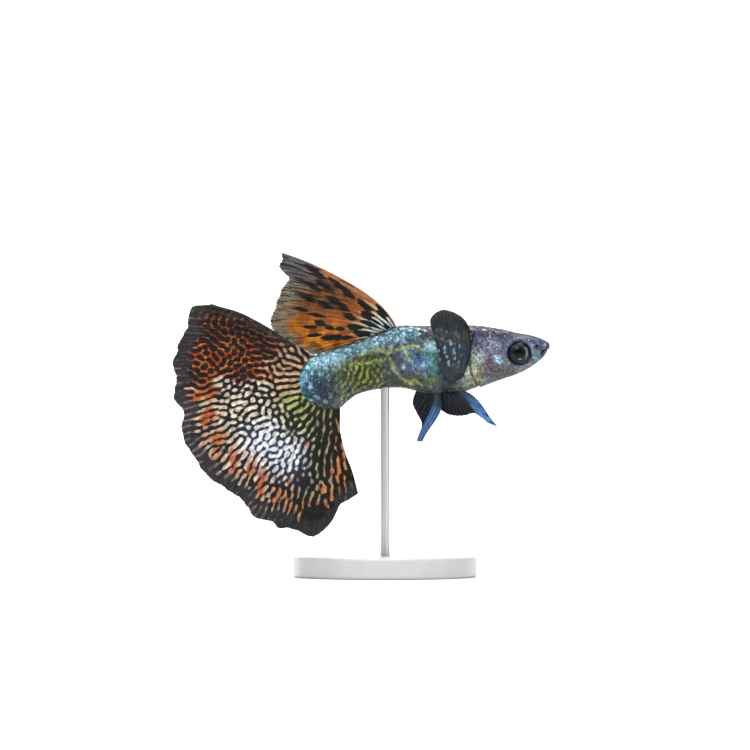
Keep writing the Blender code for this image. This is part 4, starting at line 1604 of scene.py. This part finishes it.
@dataclass
class TailFin(Fin):
    """The wide fan: black with a maze of cream lines, orange patches inside its smoky rim."""

    name: str = "tail_fin_fan"
    nodes: tuple[str, ...] = ("tail_fin",)
    slot: str = "tail_fin"
    rays: int = 22
    columns: int = 441
    rows: int = 112
    rim: tuple[float, ...] = (
        16.9, 18.5, 18.5, 18.4, 18.9, 19.1, 19.3, 19.0, 19.3, 19.2, 18.1, 18.4, 18.8, 19.0, 18.8, 18.8,
        19.1, 18.7, 18.6, 18.5, 18.7, 19.3, 18.9, 19.3, 19.0, 19.3, 19.5, 17.9, 15.5, 15.1, 14.6,
    )
    upper: tuple[float, ...] = (121.0, 134.3, 138.6, 142.0, 146.3)
    lower: tuple[float, ...] = (294.0, 283.6, 282.2, 284.0, 284.0)
    root_inset: float = 0.9
    embers: Rows = (
        (-14.3, 30.2, 0.7), (-6.4, 13.0, 0.8), (-7.8, 11.2, 0.6), (-9.7, 16.6, 0.35), (-11.9, 12.0, 0.5),
    )
    # Turns are degrees round the centre of the stem's arc, and reaches are millimetres from it.
    lobe_turn: tuple[float, float] = (188.0, 176.0)
    lobe_reach: tuple[float, float] = (6.0, 9.0)
    lobe_top_turn: tuple[float, float] = (166.0, 150.0)
    under_turn: tuple[float, float] = (232.0, 262.0)
    near_reach: tuple[float, float] = (10.0, 5.5)
    near_turn: tuple[float, float] = (188.0, 212.0)
    tawny_reach: tuple[float, float] = (8.5, 6.0)
    tawny_turn: tuple[float, float] = (205.0, 192.0)
    blue_reach: float = 11.0
    blue_width: float = 2.8
    blue_turns: Rows = ((200.0, 220.0), (262.0, 244.0))
    ring_inset: float = 3.2
    ring_width: float = 1.8
    margin_inset: tuple[float, float] = (2.1, 1.2)
    maze: Maze = Maze((-30.0, 2.0), 30.0, 0.8, 13, 384, 21)

    def polar(self, x: Array, z: Array) -> tuple[Array, Array, Array, Array]:
        """Distance and direction from the stem's arc.

        Args:
            x: places along the fish.
            z: heights.

        Returns:
            The distance, the angle in degrees, and the unit direction as two parts.
        """
        cx, cz = self.body.stem_centre()
        reach = np.maximum(np.hypot(x - cx, z - cz), 1e-6)
        turn = np.degrees(np.arctan2(z - cz, x - cx)) % 360
        return reach, turn, (x - cx) / reach, (z - cz) / reach

    def place(self, a: Array, r: Array) -> tuple[Array, Array, Array]:
        """Middle of the fan, spread from the arc of the stem, with soft folds.

        Args:
            a: across the rays.
            r: along them.

        Returns:
            x, y and z.
        """
        cx, cz = self.body.stem_centre()
        radius = self.body.stem_radius()
        low, high = share_of(self.upper, r), share_of(self.lower, r)
        turn = np.radians(low + (high - low) * a)
        ragged = 0.08 * ripple(a * 44, 0 * a, 2.6, 31) + 0.05 * ripple(a * 44, 0 * a, 1.3, 32)
        tips = 0.02 * np.cos(2 * math.pi * a * self.rays * 4)
        rim = share_of(self.rim, a) + ragged + tips
        start = radius - self.root_inset
        reach = start + (rim - start) * r
        out = np.clip((reach - radius) / (rim - radius), 0, 1)
        fold = 0.9 * out**2 * np.sin(2 * math.pi * (2.6 * a + 0.15))
        fold = fold + 0.35 * out**3 * np.sin(2 * math.pi * 6.3 * a)
        return cx + reach * np.cos(turn), fold, cz + reach * np.sin(turn)

    def lobe(self, x: Array, z: Array) -> Array:
        """Share of the orange upper lobe.

        Args:
            x: places along the fish.
            z: heights.

        Returns:
            1 in the lobe to 0 outside it.
        """
        reach, turn, _, _ = self.polar(x, z)
        return smooth(*self.lobe_turn, turn + 6 * ripple(x, z, 4.0, 40)) * smooth(*self.lobe_reach, reach)

    def follow(self, x: Array, z: Array) -> tuple[Array, Array, Array, Array]:
        """Direction and kind of the maze: along the rays at the stem, low down and near the rim.

        Args:
            x: places along the fish.
            z: heights.

        Returns:
            What the maze asks for at each place. In the upper lobe it leans to black spots.
        """
        reach, turn, dx, dz = self.polar(x, z)
        lobe = self.lobe(x, z)
        hold = 0.04 + 0.22 * smooth(7.0, 4.5, reach) + 0.08 * smooth(225, 260, turn)
        hold += 0.14 * smooth(12.0, 15.0, reach) * (1 - lobe)
        return dx, dz, np.minimum(hold, 0.45), 0.8 - 2.2 * lobe

    def colours(self, a: Array, r: Array, x: Array, z: Array) -> dict[str, Array]:
        """Cream maze on black, yellow green at the stem and orange towards the rim.

        Args:
            a: across the rays.
            r: along them.
            x: places along the fish.
            z: heights.

        Returns:
            The attributes ground, mark, sign and clear.
        """
        pattern = self.maze.read(self.maze.grow(self.follow), self.maze.taps(x, z))
        pattern = pattern + 0.3 * ripple(x, z, 5.0, 46)
        reach, turn, _, _ = self.polar(x, z)
        inside = share_of(self.rim, a) - reach
        under = smooth(*self.under_turn, turn)
        lobe = self.lobe(x, z)
        top = lobe * smooth(*self.lobe_top_turn, turn + 5 * ripple(x, z, 3.5, 48))
        blobs = smooth(-0.4, 0.3, ripple(x, z, 2.6, 41))
        ember = np.zeros(x.shape)
        for sx, sz, size in self.embers:
            away = np.hypot(x - sx, z - sz) / size + 0.3 * ripple(x, z, 1.0, 39)
            ember = np.maximum(ember, smooth(1.2, 0.5, away))
        ring = hill(inside - self.ring_inset, self.ring_width) * smooth(8.0, 10.0, reach)
        side_edge = smooth(0.9, 0.975, a) * smooth(0.15, 0.4, r)
        orange = np.clip(ring * (0.35 + 0.75 * blobs) + lobe + 0.8 * side_edge + ember, 0, 1)
        ragged = 0.5 * ripple(x, z, 1.8, 42)
        margin = smooth(*self.margin_inset, inside + ragged + 0.3 * np.cos(2 * math.pi * a * self.rays))
        crown = smooth(0.06, 0.015, a + 0.01 * ripple(x, z, 1.5, 45)) * smooth(0.1, 0.3, r)
        near = smooth(*self.near_reach, reach) * smooth(*self.near_turn, turn)
        tawny = smooth(*self.tawny_reach, reach) * smooth(*self.tawny_turn, turn)
        blue = hill(reach - self.blue_reach, self.blue_width)
        for edge in self.blue_turns:
            blue = blue * smooth(*edge, turn)
        mark = blend_colours(x.shape, "#d6c9b3", [
            ("#98a146", 0.9 * near),
            ("#8b835a", 0.9 * under),
            ("#b98a58", 0.8 * tawny),
            ("#dde5f0", 0.9 * blue),
            ("#bb6433", orange * (1 - 0.3 * under)),
            ("#9c380d", 0.9 * lobe * smooth(-0.5, 0.2, ripple(x, z, 2.6, 43))),
            ("#6a3a18", 0.85 * top),
            ("#574a49", 0.9 * margin),
            ("#54402f", 0.9 * crown),
        ])
        mark = mark * (0.98 + 0.25 * ripple(x, z, 0.9, 38))[..., None]
        ground = blend_colours(x.shape, "#090a0c", [
            ("#303b4c", 0.85 * blue),
            ("#17180b", 0.6 * near),
            ("#150803", 0.9 * orange),
            ("#29262b", 0.95 * margin),
            ("#2b2523", 0.9 * crown),
        ])
        dashes = smooth(0.3, 0.7, ripple(reach, 0.12 * turn, 1.3, 49)) * smooth(205, 225, turn)
        gap = (0.5 + 0.5 * np.cos(2 * math.pi * a * self.rays * 4 + 1.4 * ripple(x, z, 2.2, 47))) ** 3
        breaks = smooth(0.2, 0.7, ripple(x, z, 1.3, 44)) * smooth(6.0, 8.0, reach)
        sign = pattern - 0.02 - 0.7 * breaks * (1 - lobe) * (1 - 0.7 * blue) + 0.45 * blue - 0.62 * under
        sign = sign - 0.38 * lobe - 0.2 * top - 0.55 * gap * (1 - 0.6 * lobe) - 0.15 * near
        sign = sign - 0.9 * dashes * (1 - 0.7 * blue)
        sign = sign + 0.7 * ring * blobs * (1 - lobe) + 1.2 * ember - 0.7 * margin - 0.3 * crown
        return {"ground": ground, "mark": mark, "sign": sign, "clear": 0.05 * margin}


@dataclass
class DorsalFin(Fin):
    """The pennant: orange with black ovals along its rays, a bluish tip and a clear olive fringe."""

    name: str = "dorsal_fin_pennant"
    nodes: tuple[str, ...] = ("dorsal_fin",)
    slot: str = "dorsal_fin"
    rays: int = 9
    columns: int = 289
    rows: int = 110
    bend_share: float = 0.25
    pleat: float = 0.08
    root_x: tuple[float, float] = (1.6, -1.1)
    margin: Rows = (
        (-13.1, 40.6), (-12.9, 38.6), (-12.0, 37.0), (-13.0, 35.8), (-13.4, 34.6),
        (-13.9, 33.0), (-14.2, 31.0), (-12.4, 29.4), (-10.6, 28.2), (-8.0, 27.7),
    )
    clearance: float = 0.05
    bow: float = 0.075
    hump: float = 1.2
    dip: float = 0.95
    dip_x: tuple[float, float] = (-4.5, -8.0)
    root_sink: float = 0.35
    spot_aim: tuple[float, float] = (1.4, 30.3)
    fringe_along: tuple[float, float] = (0.79, 0.93)
    tip_along: tuple[float, float] = (0.62, 0.9)
    tip_across: tuple[float, float] = (0.32, 0.12)
    root_along: tuple[float, float] = (0.38, 0.12)
    spots: Rows = (
        (-2.6, 33.9, 1.0, 0.32), (-0.4, 33.0, 0.8, 0.3), (-2.3, 32.6, 0.8, 0.3), (-4.4, 32.5, 0.7, 0.34),
        (-1.9, 31.6, 0.9, 0.28), (-3.9, 31.2, 0.8, 0.34), (-2.9, 30.4, 0.9, 0.3), (-6.6, 29.9, 1.3, 0.36),
        (-8.1, 31.7, 0.6, 0.25), (-6.9, 31.1, 0.55, 0.24), (-8.5, 32.7, 0.7, 0.22), (-7.4, 33.9, 0.8, 0.24),
        (-6.2, 34.4, 0.9, 0.3), (-9.7, 34.9, 0.9, 0.24), (0.4, 31.1, 0.6, 0.2), (-5.2, 33.6, 0.7, 0.28),
        (-4.6, 35.4, 0.9, 0.26), (-7.6, 36.4, 1.0, 0.26), (-9.0, 36.2, 0.8, 0.22), (-10.4, 33.4, 0.7, 0.2),
        (-5.6, 31.0, 0.5, 0.24), (-4.9, 29.9, 0.7, 0.22), (-9.4, 31.2, 0.8, 0.2), (-6.0, 36.6, 0.9, 0.22),
        (-8.6, 38.0, 1.1, 0.24), (-10.6, 37.0, 0.9, 0.22), (-1.2, 31.9, 0.5, 0.16), (-8.8, 30.2, 0.8, 0.2),
    )

    def place(self, a: Array, r: Array) -> tuple[Array, Array, Array]:
        """Middle of the fin, swept back over the tail stem.

        Args:
            a: across the rays.
            r: along them.

        Returns:
            x, y and z.
        """
        root = self.root_x[0] + (self.root_x[1] - self.root_x[0]) * a
        base = self.body.edge(root, 0.0) - self.root_sink
        end = along(self.margin, a * (len(self.margin) - 1))
        ragged = 1 + 0.014 * ripple(a * 14, 0 * a, 1.6, 51) + 0.004 * np.cos(2 * math.pi * a * self.rays * 4)
        run_x, run_z = (end[..., 0] - root) * ragged, (end[..., 1] - base) * ragged
        bow = self.bow * (1 - a) * (1 + self.hump * (1 - r) ** 3) * 4 * r * (1 - r)
        x = root + run_x * r + run_z * bow
        z = base + run_z * r - run_x * bow
        wave = 0.45 * r**2 * np.sin(2 * math.pi * (1.4 * a + 0.3))
        floor = self.body.edge(x, 0.0) + self.clearance * smooth(0.05, 0.3, r)
        floor = floor - self.root_sink * smooth(0.3, 0.05, r)
        return x, wave, np.maximum(z, floor - self.dip * smooth(*self.dip_x, x))

    def colours(self, a: Array, r: Array, x: Array, z: Array) -> dict[str, Array]:
        """Orange ground with black ovals, cream rays at the root and a grey tip.

        Args:
            a: across the rays.
            r: along them.
            x: places along the fish.
            z: heights.

        Returns:
            The attributes ground, mark, sign and clear.
        """
        pattern = np.full(x.shape, 1.4)
        jitter = 0.12 * ripple(x, z, 0.9, 55)
        for sx, sz, length, width in self.spots:
            away = np.array([self.spot_aim[0] - sx, self.spot_aim[1] - sz])
            ux, uz = away / np.hypot(*away)
            along_ray = (x - sx) * ux + (z - sz) * uz
            across = (x - sx) * uz - (z - sz) * ux
            reach = np.hypot(along_ray / (1.1 * length), across / (1.15 * width))
            pattern = np.minimum(pattern, 2.0 * (reach - 1) + jitter)
        ragged = 0.03 * ripple(a * 9, 0 * a, 1.2, 52) + 0.06 * ripple(a * 40, 0 * a, 1.2, 54)
        fringe = smooth(*self.fringe_along, r + ragged) * smooth(0.05, 0.2, a)
        tip = smooth(*self.tip_along, r) * smooth(*self.tip_across, a)
        lead = smooth(0.12, 0.03, a)
        root = smooth(*self.root_along, r)
        low_rim = smooth(0.9, 0.99, a) * smooth(0.3, 0.6, r)
        low = smooth(0.45, 0.85, a)
        middle = smooth(0.62, 0.36, a) * smooth(0.3, 0.55, r)
        stripes = 0.5 + 0.5 * np.cos(2 * math.pi * a * self.rays * 4 + 1.5 * ripple(x, z, 2.0, 56))
        spokes = 0.5 + 0.5 * np.cos(2 * math.pi * a * self.rays + 0.6 * ripple(x, z, 2.0, 58))
        glow = smooth(-0.4, 0.4, ripple(x, z, 2.0, 57))
        streaks = smooth(0.15, 0.7, ripple(a * 34, 4.5 * r, 1.5, 60)) * smooth(0.28, 0.45, r)
        mark = blend_colours(x.shape, "#83481a", [
            ("#e0951a", 0.95 * low * smooth(0.3, 0.45, r) * glow),
            ("#a3501a", 0.55 * (0.5 + 0.5 * ripple(x, z, 2.4, 53))),
            ("#4c321c", 0.9 * middle),
            ("#a9672a", 0.6 * middle * stripes * glow),
            ("#d6c8a4", 0.85 * root * spokes),
            ("#b4d2de", 0.85 * smooth(0.24, 0.08, r) * spokes),
            ("#ad7450", 0.85 * lead),
            ("#565b67", 0.9 * tip),
            ("#858069", 0.85 * fringe),
            ("#5d4b2f", 0.85 * low_rim),
        ])
        ground = blend_colours(x.shape, "#0f0b09", [
            ("#25262e", 0.8 * tip),
            ("#232119", 0.85 * fringe),
            ("#0c161c", 0.7 * root),
        ])
        sign = pattern - 1.6 * root * (1 - spokes) - 1.1 * fringe * stripes - 0.8 * tip * stripes
        sign = sign - 0.7 * middle * stripes - (0.75 + 0.5 * middle) * streaks
        return {"ground": ground, "mark": mark, "sign": sign, "clear": 0.12 * fringe + 0.05 * tip}


@dataclass
class PectoralFin(Fin):
    """One of the two big smoky paddles raised beside the back."""

    side: Side = Side.RIGHT
    name: str = "pectoral_paddle"
    slot: str = "dark_fin"
    nodes: tuple[str, ...] = ()
    rays: int = 8
    columns: int = 145
    rows: int = 64
    root_thick: float = 0.26
    ridge: float = 0.05
    forks: tuple[float, ...] = (0.4, 0.72)
    root: Rows = ((9.75, 25.0), (8.35, 24.1))
    margin: Rows = (
        (10.6, 27.3), (10.7, 28.8), (10.4, 31.2), (9.2, 32.65), (7.1, 33.3),
        (5.6, 32.1), (6.1, 30.0), (6.6, 27.6), (7.0, 25.6),
    )
    top: float = 33.3
    spread: float = 3.4
    spread_power: float = 0.8
    cup: float = 0.5
    drop: float = 0.0
    olive_top: tuple[float, float] = (31.4, 30.2)
    olive_low: tuple[float, float] = (28.6, 29.4)
    through_top: tuple[float, float] = (29.6, 28.8)
    through_low: tuple[float, float] = (26.0, 27.2)
    foot_top: tuple[float, float] = (27.4, 26.2)

    def place(self, a: Array, r: Array) -> tuple[Array, Array, Array]:
        """Middle of the paddle, leaning away from the flank.

        Args:
            a: across the rays.
            r: along them.

        Returns:
            x, y and z.
        """
        root = along(self.root, a * (len(self.root) - 1))
        end = along(self.margin, a * (len(self.margin) - 1))
        point = root + (end - root) * r[..., None]
        rise = np.maximum(0.0, point[..., 1] - root[..., 1]) / (self.top - root[..., 1])
        out = self.body.flank(root[..., 0], root[..., 1]) - 0.2 + 0.89 * smooth(0.0, 0.12, r)
        out = out + self.spread * rise**self.spread_power - self.cup * r * np.sin(math.pi * a)
        return point[..., 0], self.side.value * out, point[..., 1] - self.drop * r

    def colours(self, a: Array, r: Array, x: Array, z: Array) -> dict[str, Array]:
        """Smoky black with a faint olive cloud, and pale flecks low down: painted glints of scales that show
        through.

        Args:
            a: across the rays.
            r: along them.
            x: places along the fish.
            z: heights.

        Returns:
            The attributes ground, mark, sign and clear.
        """
        wx, wz = x + 0.3 * ripple(x, z, 1.6, 61), z + 0.4 * ripple(x, z, 1.6, 62)
        olive = smooth(*self.olive_top, wz) * smooth(*self.olive_low, wz)
        through = smooth(*self.through_top, wz) * smooth(*self.through_low, wz)
        foot = smooth(*self.foot_top, wz)
        fleck = smooth(0.35, 0.75, ripple(x, z, 0.75, 64)) * smooth(9.8, 9.0, wx) * (through + 0.3 * olive)
        hem = smooth(0.84, 0.93, r) * smooth(0.5, 0.3, a)
        # A dark line of painted shade along a crease in the paddle.
        crease = hill(wx - 8.1 - 0.6 * (30.3 - wz), 0.22)
        crease = crease * smooth(31.2, 30.4, wz) * smooth(28.6, 29.2, wz)
        layers = [
            ("#2e3029", 0.9 * olive),
            ("#1c2d38", 0.9 * through),
            ("#2b333a", 0.9 * foot),
            ("#8497a8", 0.85 * fleck),
            ("#0b0a0a", 0.9 * np.maximum(hem, 0.7 * crease)),
        ]
        ground = blend_colours(x.shape, "#171a21", layers)
        mark = 1.3 * blend_colours(x.shape, "#1c2027", layers)
        sign = 0.7 * self.ray(a, r) - 0.35 + 0.5 * ripple(x, z, 0.9, 63)
        return {"ground": ground, "mark": mark, "sign": sign, "clear": 0.02 + 0.1 * smooth(0.85, 1.0, r)}


@dataclass
class PelvicFin(Fin):
    """One of the two pelvic fins, swung forward, with a long pale blue first ray."""

    side: Side = Side.RIGHT
    name: str = "pelvic_blade"
    nodes: tuple[str, ...] = ()
    slot: str = "blue_fin"
    rays: int = 6
    columns: int = 97
    rows: int = 56
    root_thick: float = 0.3
    root_x: tuple[float, float] = (9.3, 6.95)
    margin: Rows = (
        (14.0, 18.85), (13.0, 19.2), (11.3, 20.45), (10.0, 20.2), (8.9, 20.15), (7.9, 20.35), (7.0, 20.9),
    )
    root_y: float = 0.75
    root_sink: float = 0.35
    spread: float = 1.7
    bow: float = 0.1
    bar_share: float = 1.0

    def place(self, a: Array, r: Array) -> tuple[Array, Array, Array]:
        """Middle of the blade, from the belly forward.

        Args:
            a: across the rays.
            r: along them.

        Returns:
            x, y and z.
        """
        root = self.root_x[0] + (self.root_x[1] - self.root_x[0]) * a
        base = self.body.edge(root, math.pi) + self.root_sink
        end = along(self.margin, a * (len(self.margin) - 1))
        run_x, run_z = end[..., 0] - root, end[..., 1] - base
        bow = -self.bow * (1 - a) * 6.75 * r * (1 - r) ** 2
        x = root + run_x * r + run_z * bow
        z = base + run_z * r - run_x * bow
        return x, self.side.value * (self.root_y + self.spread * r), z

    def colours(self, a: Array, r: Array, x: Array, z: Array) -> dict[str, Array]:
        """Near-black web with a blue ray along its front, grey at its root and barred towards its tip.

        Args:
            a: across the rays.
            r: along them.
            x: places along the fish.
            z: heights.

        Returns:
            The attributes ground, mark, sign and clear.
        """
        front = smooth(0.36, 0.24, a)
        bars = smooth(0.1, 0.6, np.cos(2 * math.pi * (5.0 * r + 0.3)))
        bars = bars * smooth(0.5, 0.65, r) * smooth(0.2, 0.1, a)
        layers = [
            ("#456593", 0.95 * front),
            ("#333f49", 0.9 * front * smooth(0.42, 0.2, r)),
            ("#6a94c8", 0.8 * front * smooth(0.5, 0.8, r) * self.bar_share),
            ("#1d3a84", 0.85 * self.bar_share * bars),
            ("#2a3a6e", 0.6 * smooth(0.07, 0.02, a) * smooth(0.2, 0.35, r)),
        ]
        ground = 0.75 * blend_colours(x.shape, "#080c13", layers)
        mark = 1.1 * blend_colours(x.shape, "#121c28", layers)
        sign = 1.2 * self.ray(a, r) - 0.8 + 0.9 * front + 0.4 * ripple(x, z, 0.8, 63)
        return {"ground": ground, "mark": mark, "sign": sign, "clear": 0 * r}


@dataclass
class AnalFin(PelvicFin):
    """The anal fin, swung down on the midline, its front ray long and pale blue."""

    name: str = "anal_blade"
    nodes: tuple[str, ...] = ("anal_fin",)
    rays: int = 5
    root_x: tuple[float, float] = (7.0, 4.0)
    margin: Rows = ((4.7, 16.9), (4.0, 17.1), (4.6, 19.0), (3.95, 20.5), (3.45, 21.6), (3.6, 22.6))
    root_y: float = 0.0
    spread: float = 0.0
    bow: float = 0.12
    bar_share: float = 0.0


@dataclass
class Stand:
    """The plain display stand: a turned round base and one brushed rod."""

    sides: int = 128
    bevel: float = 0.4
    bevel_points: int = 8
    sharp_degrees: float = 35.0
    rod_foot: float = 0.2
    rod_head: float = 0.5

    def lathe(self, name: str, profile: Rows, material: bpy.types.Material) -> bpy.types.Object:
        """Turn a profile round the rod's axis.

        Args:
            name: the piece's name.
            profile: radius and height pairs in millimetres, from the bottom middle to the top middle.
            material: its finish.

        Returns:
            The piece, with sharp edges kept.
        """
        turn = np.linspace(0, 2 * math.pi, self.sides, endpoint=False)
        rows = np.array([p for p in profile if p[0] > 0])
        radius, angle = np.meshgrid(rows[:, 0], turn, indexing="ij")
        height = np.broadcast_to(rows[:, 1:2], radius.shape)
        points = np.stack([radius * np.cos(angle), radius * np.sin(angle), height], axis=-1) * MM
        axis = np.array([SHIFT.x, SHIFT.y, 0.0])
        points = points.reshape(-1, 3) + axis
        ends = np.array([[0, 0, profile[0][1]], [0, 0, profile[-1][1]]]) * MM + axis
        count = len(points)
        numbers = np.arange(self.sides)
        after = (numbers + 1) % self.sides
        last = count - self.sides
        bottom = np.stack([after, numbers, np.full(self.sides, count)], axis=-1)
        top = np.stack([numbers + last, after + last, np.full(self.sides, count + 1)], axis=-1)
        wall = grid_quads(len(rows), self.sides, closed=True)
        piece = add_mesh(name, np.concatenate([points, ends]), [wall, bottom, top], material)
        piece.data.set_sharp_from_angle(angle=math.radians(self.sharp_degrees))
        return piece

    def build(self, acrylic: CastAcrylic, steel: DrawnSteel) -> None:
        """Make the base and the rod.

        Args:
            acrylic: the base's finish.
            steel: the rod's finish.
        """
        low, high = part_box("stand_base")
        radius, thick = (high.x - low.x) / 2 / MM, high.z / MM
        quarter = np.linspace(0, math.pi / 2, self.bevel_points)
        bevel = self.bevel
        inner = radius - bevel
        profile = [(0.0, 0.0), (inner, 0.0)]
        profile += [(inner + bevel * math.sin(t), bevel * (1 - math.cos(t))) for t in quarter[1:]]
        profile += [(inner + bevel * math.cos(t), thick - bevel * (1 - math.sin(t))) for t in quarter]
        profile += [(0.0, thick)]
        dress(self.lathe("base_disc", profile, acrylic.build()), "stand", "stand_base")
        rod = (ROD_HIGH.x - ROD_LOW.x) / 2 / MM
        foot, top = thick - self.rod_foot, ROD_HIGH.z / MM + self.rod_head
        profile = [(0.0, foot), (rod, foot), (rod, top), (0.0, top)]
        dress(self.lathe("rod_steel", profile, steel.build()), "rod", "stand_rod")


@dataclass(frozen=True)
class Lamp:
    """A square soft lamp, with its side in metres and its power in watts."""

    name: str
    place: tuple[float, float, float]
    size: float
    power: float
    colour: str = "#ffffff"
    target: tuple[float, float, float] = (0.0, 0.0, 0.025)

    def build(self) -> None:
        """Hang the lamp and turn it to its target."""
        light = bpy.data.lights.new(self.name, "AREA")
        light.size = self.size
        light.energy = self.power
        light.color = linear(self.colour)
        obj = bpy.data.objects.new(self.name, light)
        obj.location = self.place
        aim = Vector(self.target) - obj.location
        obj.rotation_mode = "QUATERNION"
        obj.rotation_quaternion = aim.to_track_quat("-Z", "Y")
        bpy.context.scene.collection.objects.link(obj)


@dataclass
class Studio:
    """Pale paper sweep, soft lamps and the camera of the photograph's side view."""

    sweep_width: float = 2.4
    sweep_front: float = -1.5
    sweep_back: float = 0.5
    sweep_radius: float = 0.5
    sweep_top: float = 1.6
    sweep_points: int = 24
    lamps: tuple[Lamp, ...] = (
        Lamp("lamp_key", (-0.2, -0.5, 0.55), 0.35, 2.4),
        Lamp("lamp_top", (0.1, 0.05, 0.7), 0.4, 1.6),
        Lamp("lamp_sparkle", (0.25, -0.55, 0.3), 0.06, 0.35),
        Lamp("lamp_fill", (0.6, -0.5, 0.15), 0.4, 0.7, "#f2f6ff"),
        Lamp("lamp_paper", (0.0, 0.35, 1.1), 0.7, 17.0, target=(0.0, 0.95, 0.1)),
    )
    air_colour: str = "#f7f9fc"
    air_strength: float = 0.2
    photo_pixels: int = 750
    pixel_mm: float = 0.125
    photo_middle: tuple[float, float] = (-1.25, 25.22)
    distance: float = 0.7
    sensor: float = 36.0

    def sweep(self, paper: StudioPaper) -> None:
        """Make the floor that curves up into the backdrop.

        Args:
            paper: its finish.
        """
        radius = self.sweep_radius
        turn = np.linspace(0, math.pi / 2, self.sweep_points)
        curve = [(self.sweep_back + radius * math.sin(t), radius * (1 - math.cos(t))) for t in turn]
        rows = np.array([(self.sweep_front, 0.0), *curve, (self.sweep_back + radius, self.sweep_top)])
        across = np.linspace(-self.sweep_width / 2, self.sweep_width / 2, 9)
        y, x = np.meshgrid(rows[:, 0], across, indexing="ij")
        points = np.stack([x, y, np.broadcast_to(rows[:, 1:2], y.shape)], axis=-1)
        add_mesh("paper_sweep", points, [grid_quads(*y.shape)[:, ::-1]], paper.build())

    def air(self) -> None:
        """Fill the studio with a faint even light."""
        world = bpy.data.worlds.new("studio_air")
        world.use_nodes = True
        set_sockets(world.node_tree.nodes["Background"], {
            "Color": (*linear(self.air_colour), 1.0),
            "Strength": self.air_strength,
        })
        bpy.context.scene.world = world
        bpy.context.scene.view_settings.view_transform = "Standard"

    def camera(self) -> None:
        """Place the camera level with the fish, with the lens that gives the photograph's frame."""
        data = bpy.data.cameras.new("camera_side")
        data.sensor_width = self.sensor
        data.lens = self.sensor * self.distance / (self.photo_pixels * self.pixel_mm * MM)
        data.clip_end = 20.0
        camera = bpy.data.objects.new("camera_side", data)
        x, z = self.photo_middle
        camera.location = (SHIFT.x + x * MM, SHIFT.y - self.distance, z * MM)
        camera.rotation_euler = (math.pi / 2, 0.0, 0.0)
        bpy.context.scene.collection.objects.link(camera)
        bpy.context.scene.camera = camera

    def build(self, paper: StudioPaper) -> None:
        """Make the whole studio.

        Args:
            paper: the sweep's finish.
        """
        self.sweep(paper)
        for lamp in self.lamps:
            lamp.build()
        self.air()
        self.camera()


def main() -> None:
    """Build the studio, the stand and the fish."""
    logging.basicConfig(level=logging.INFO, format="%(name)s: %(message)s")
    Studio().build(StudioPaper())
    Stand().build(CastAcrylic(), DrawnSteel())
    body = Body(Markings())
    dress(body.build_skin(WetSkin("skin_moist_pigmented")), "skin", "head", "trunk", "tail_stem")
    dress(body.build_scales(WetSkin("scales_guanine_foil", roughness=0.36, coat=0.12)), "skin")
    for side in Side:
        eye = body.build_eye(side, EyeGloss())
        dress(eye, "eye", f"eye_{side.name.lower()}")
    TailFin(body).build(FinMembrane("fin_membrane_maze", edge=0.6))
    DorsalFin(body).build(FinMembrane("fin_membrane_orange"))
    for side, spread, drop in ((Side.RIGHT, 3.4, 0.0), (Side.LEFT, 4.5, 0.9)):
        word = side.name.lower()
        PectoralFin(
            body, name=f"pectoral_paddle_{word}", nodes=(f"pectoral_fin_{word}",),
            side=side, spread=spread, drop=drop,
        ).build(FinMembrane(f"fin_membrane_smoky_{word}"))
        PelvicFin(
            body, name=f"pelvic_blade_{word}", nodes=(f"pelvic_fin_{word}",), side=side
        ).build(FinMembrane(f"fin_membrane_blue_{word}"))
    AnalFin(body).build(FinMembrane("fin_membrane_blue_anal"))


if __name__ == "__main__":
    main()
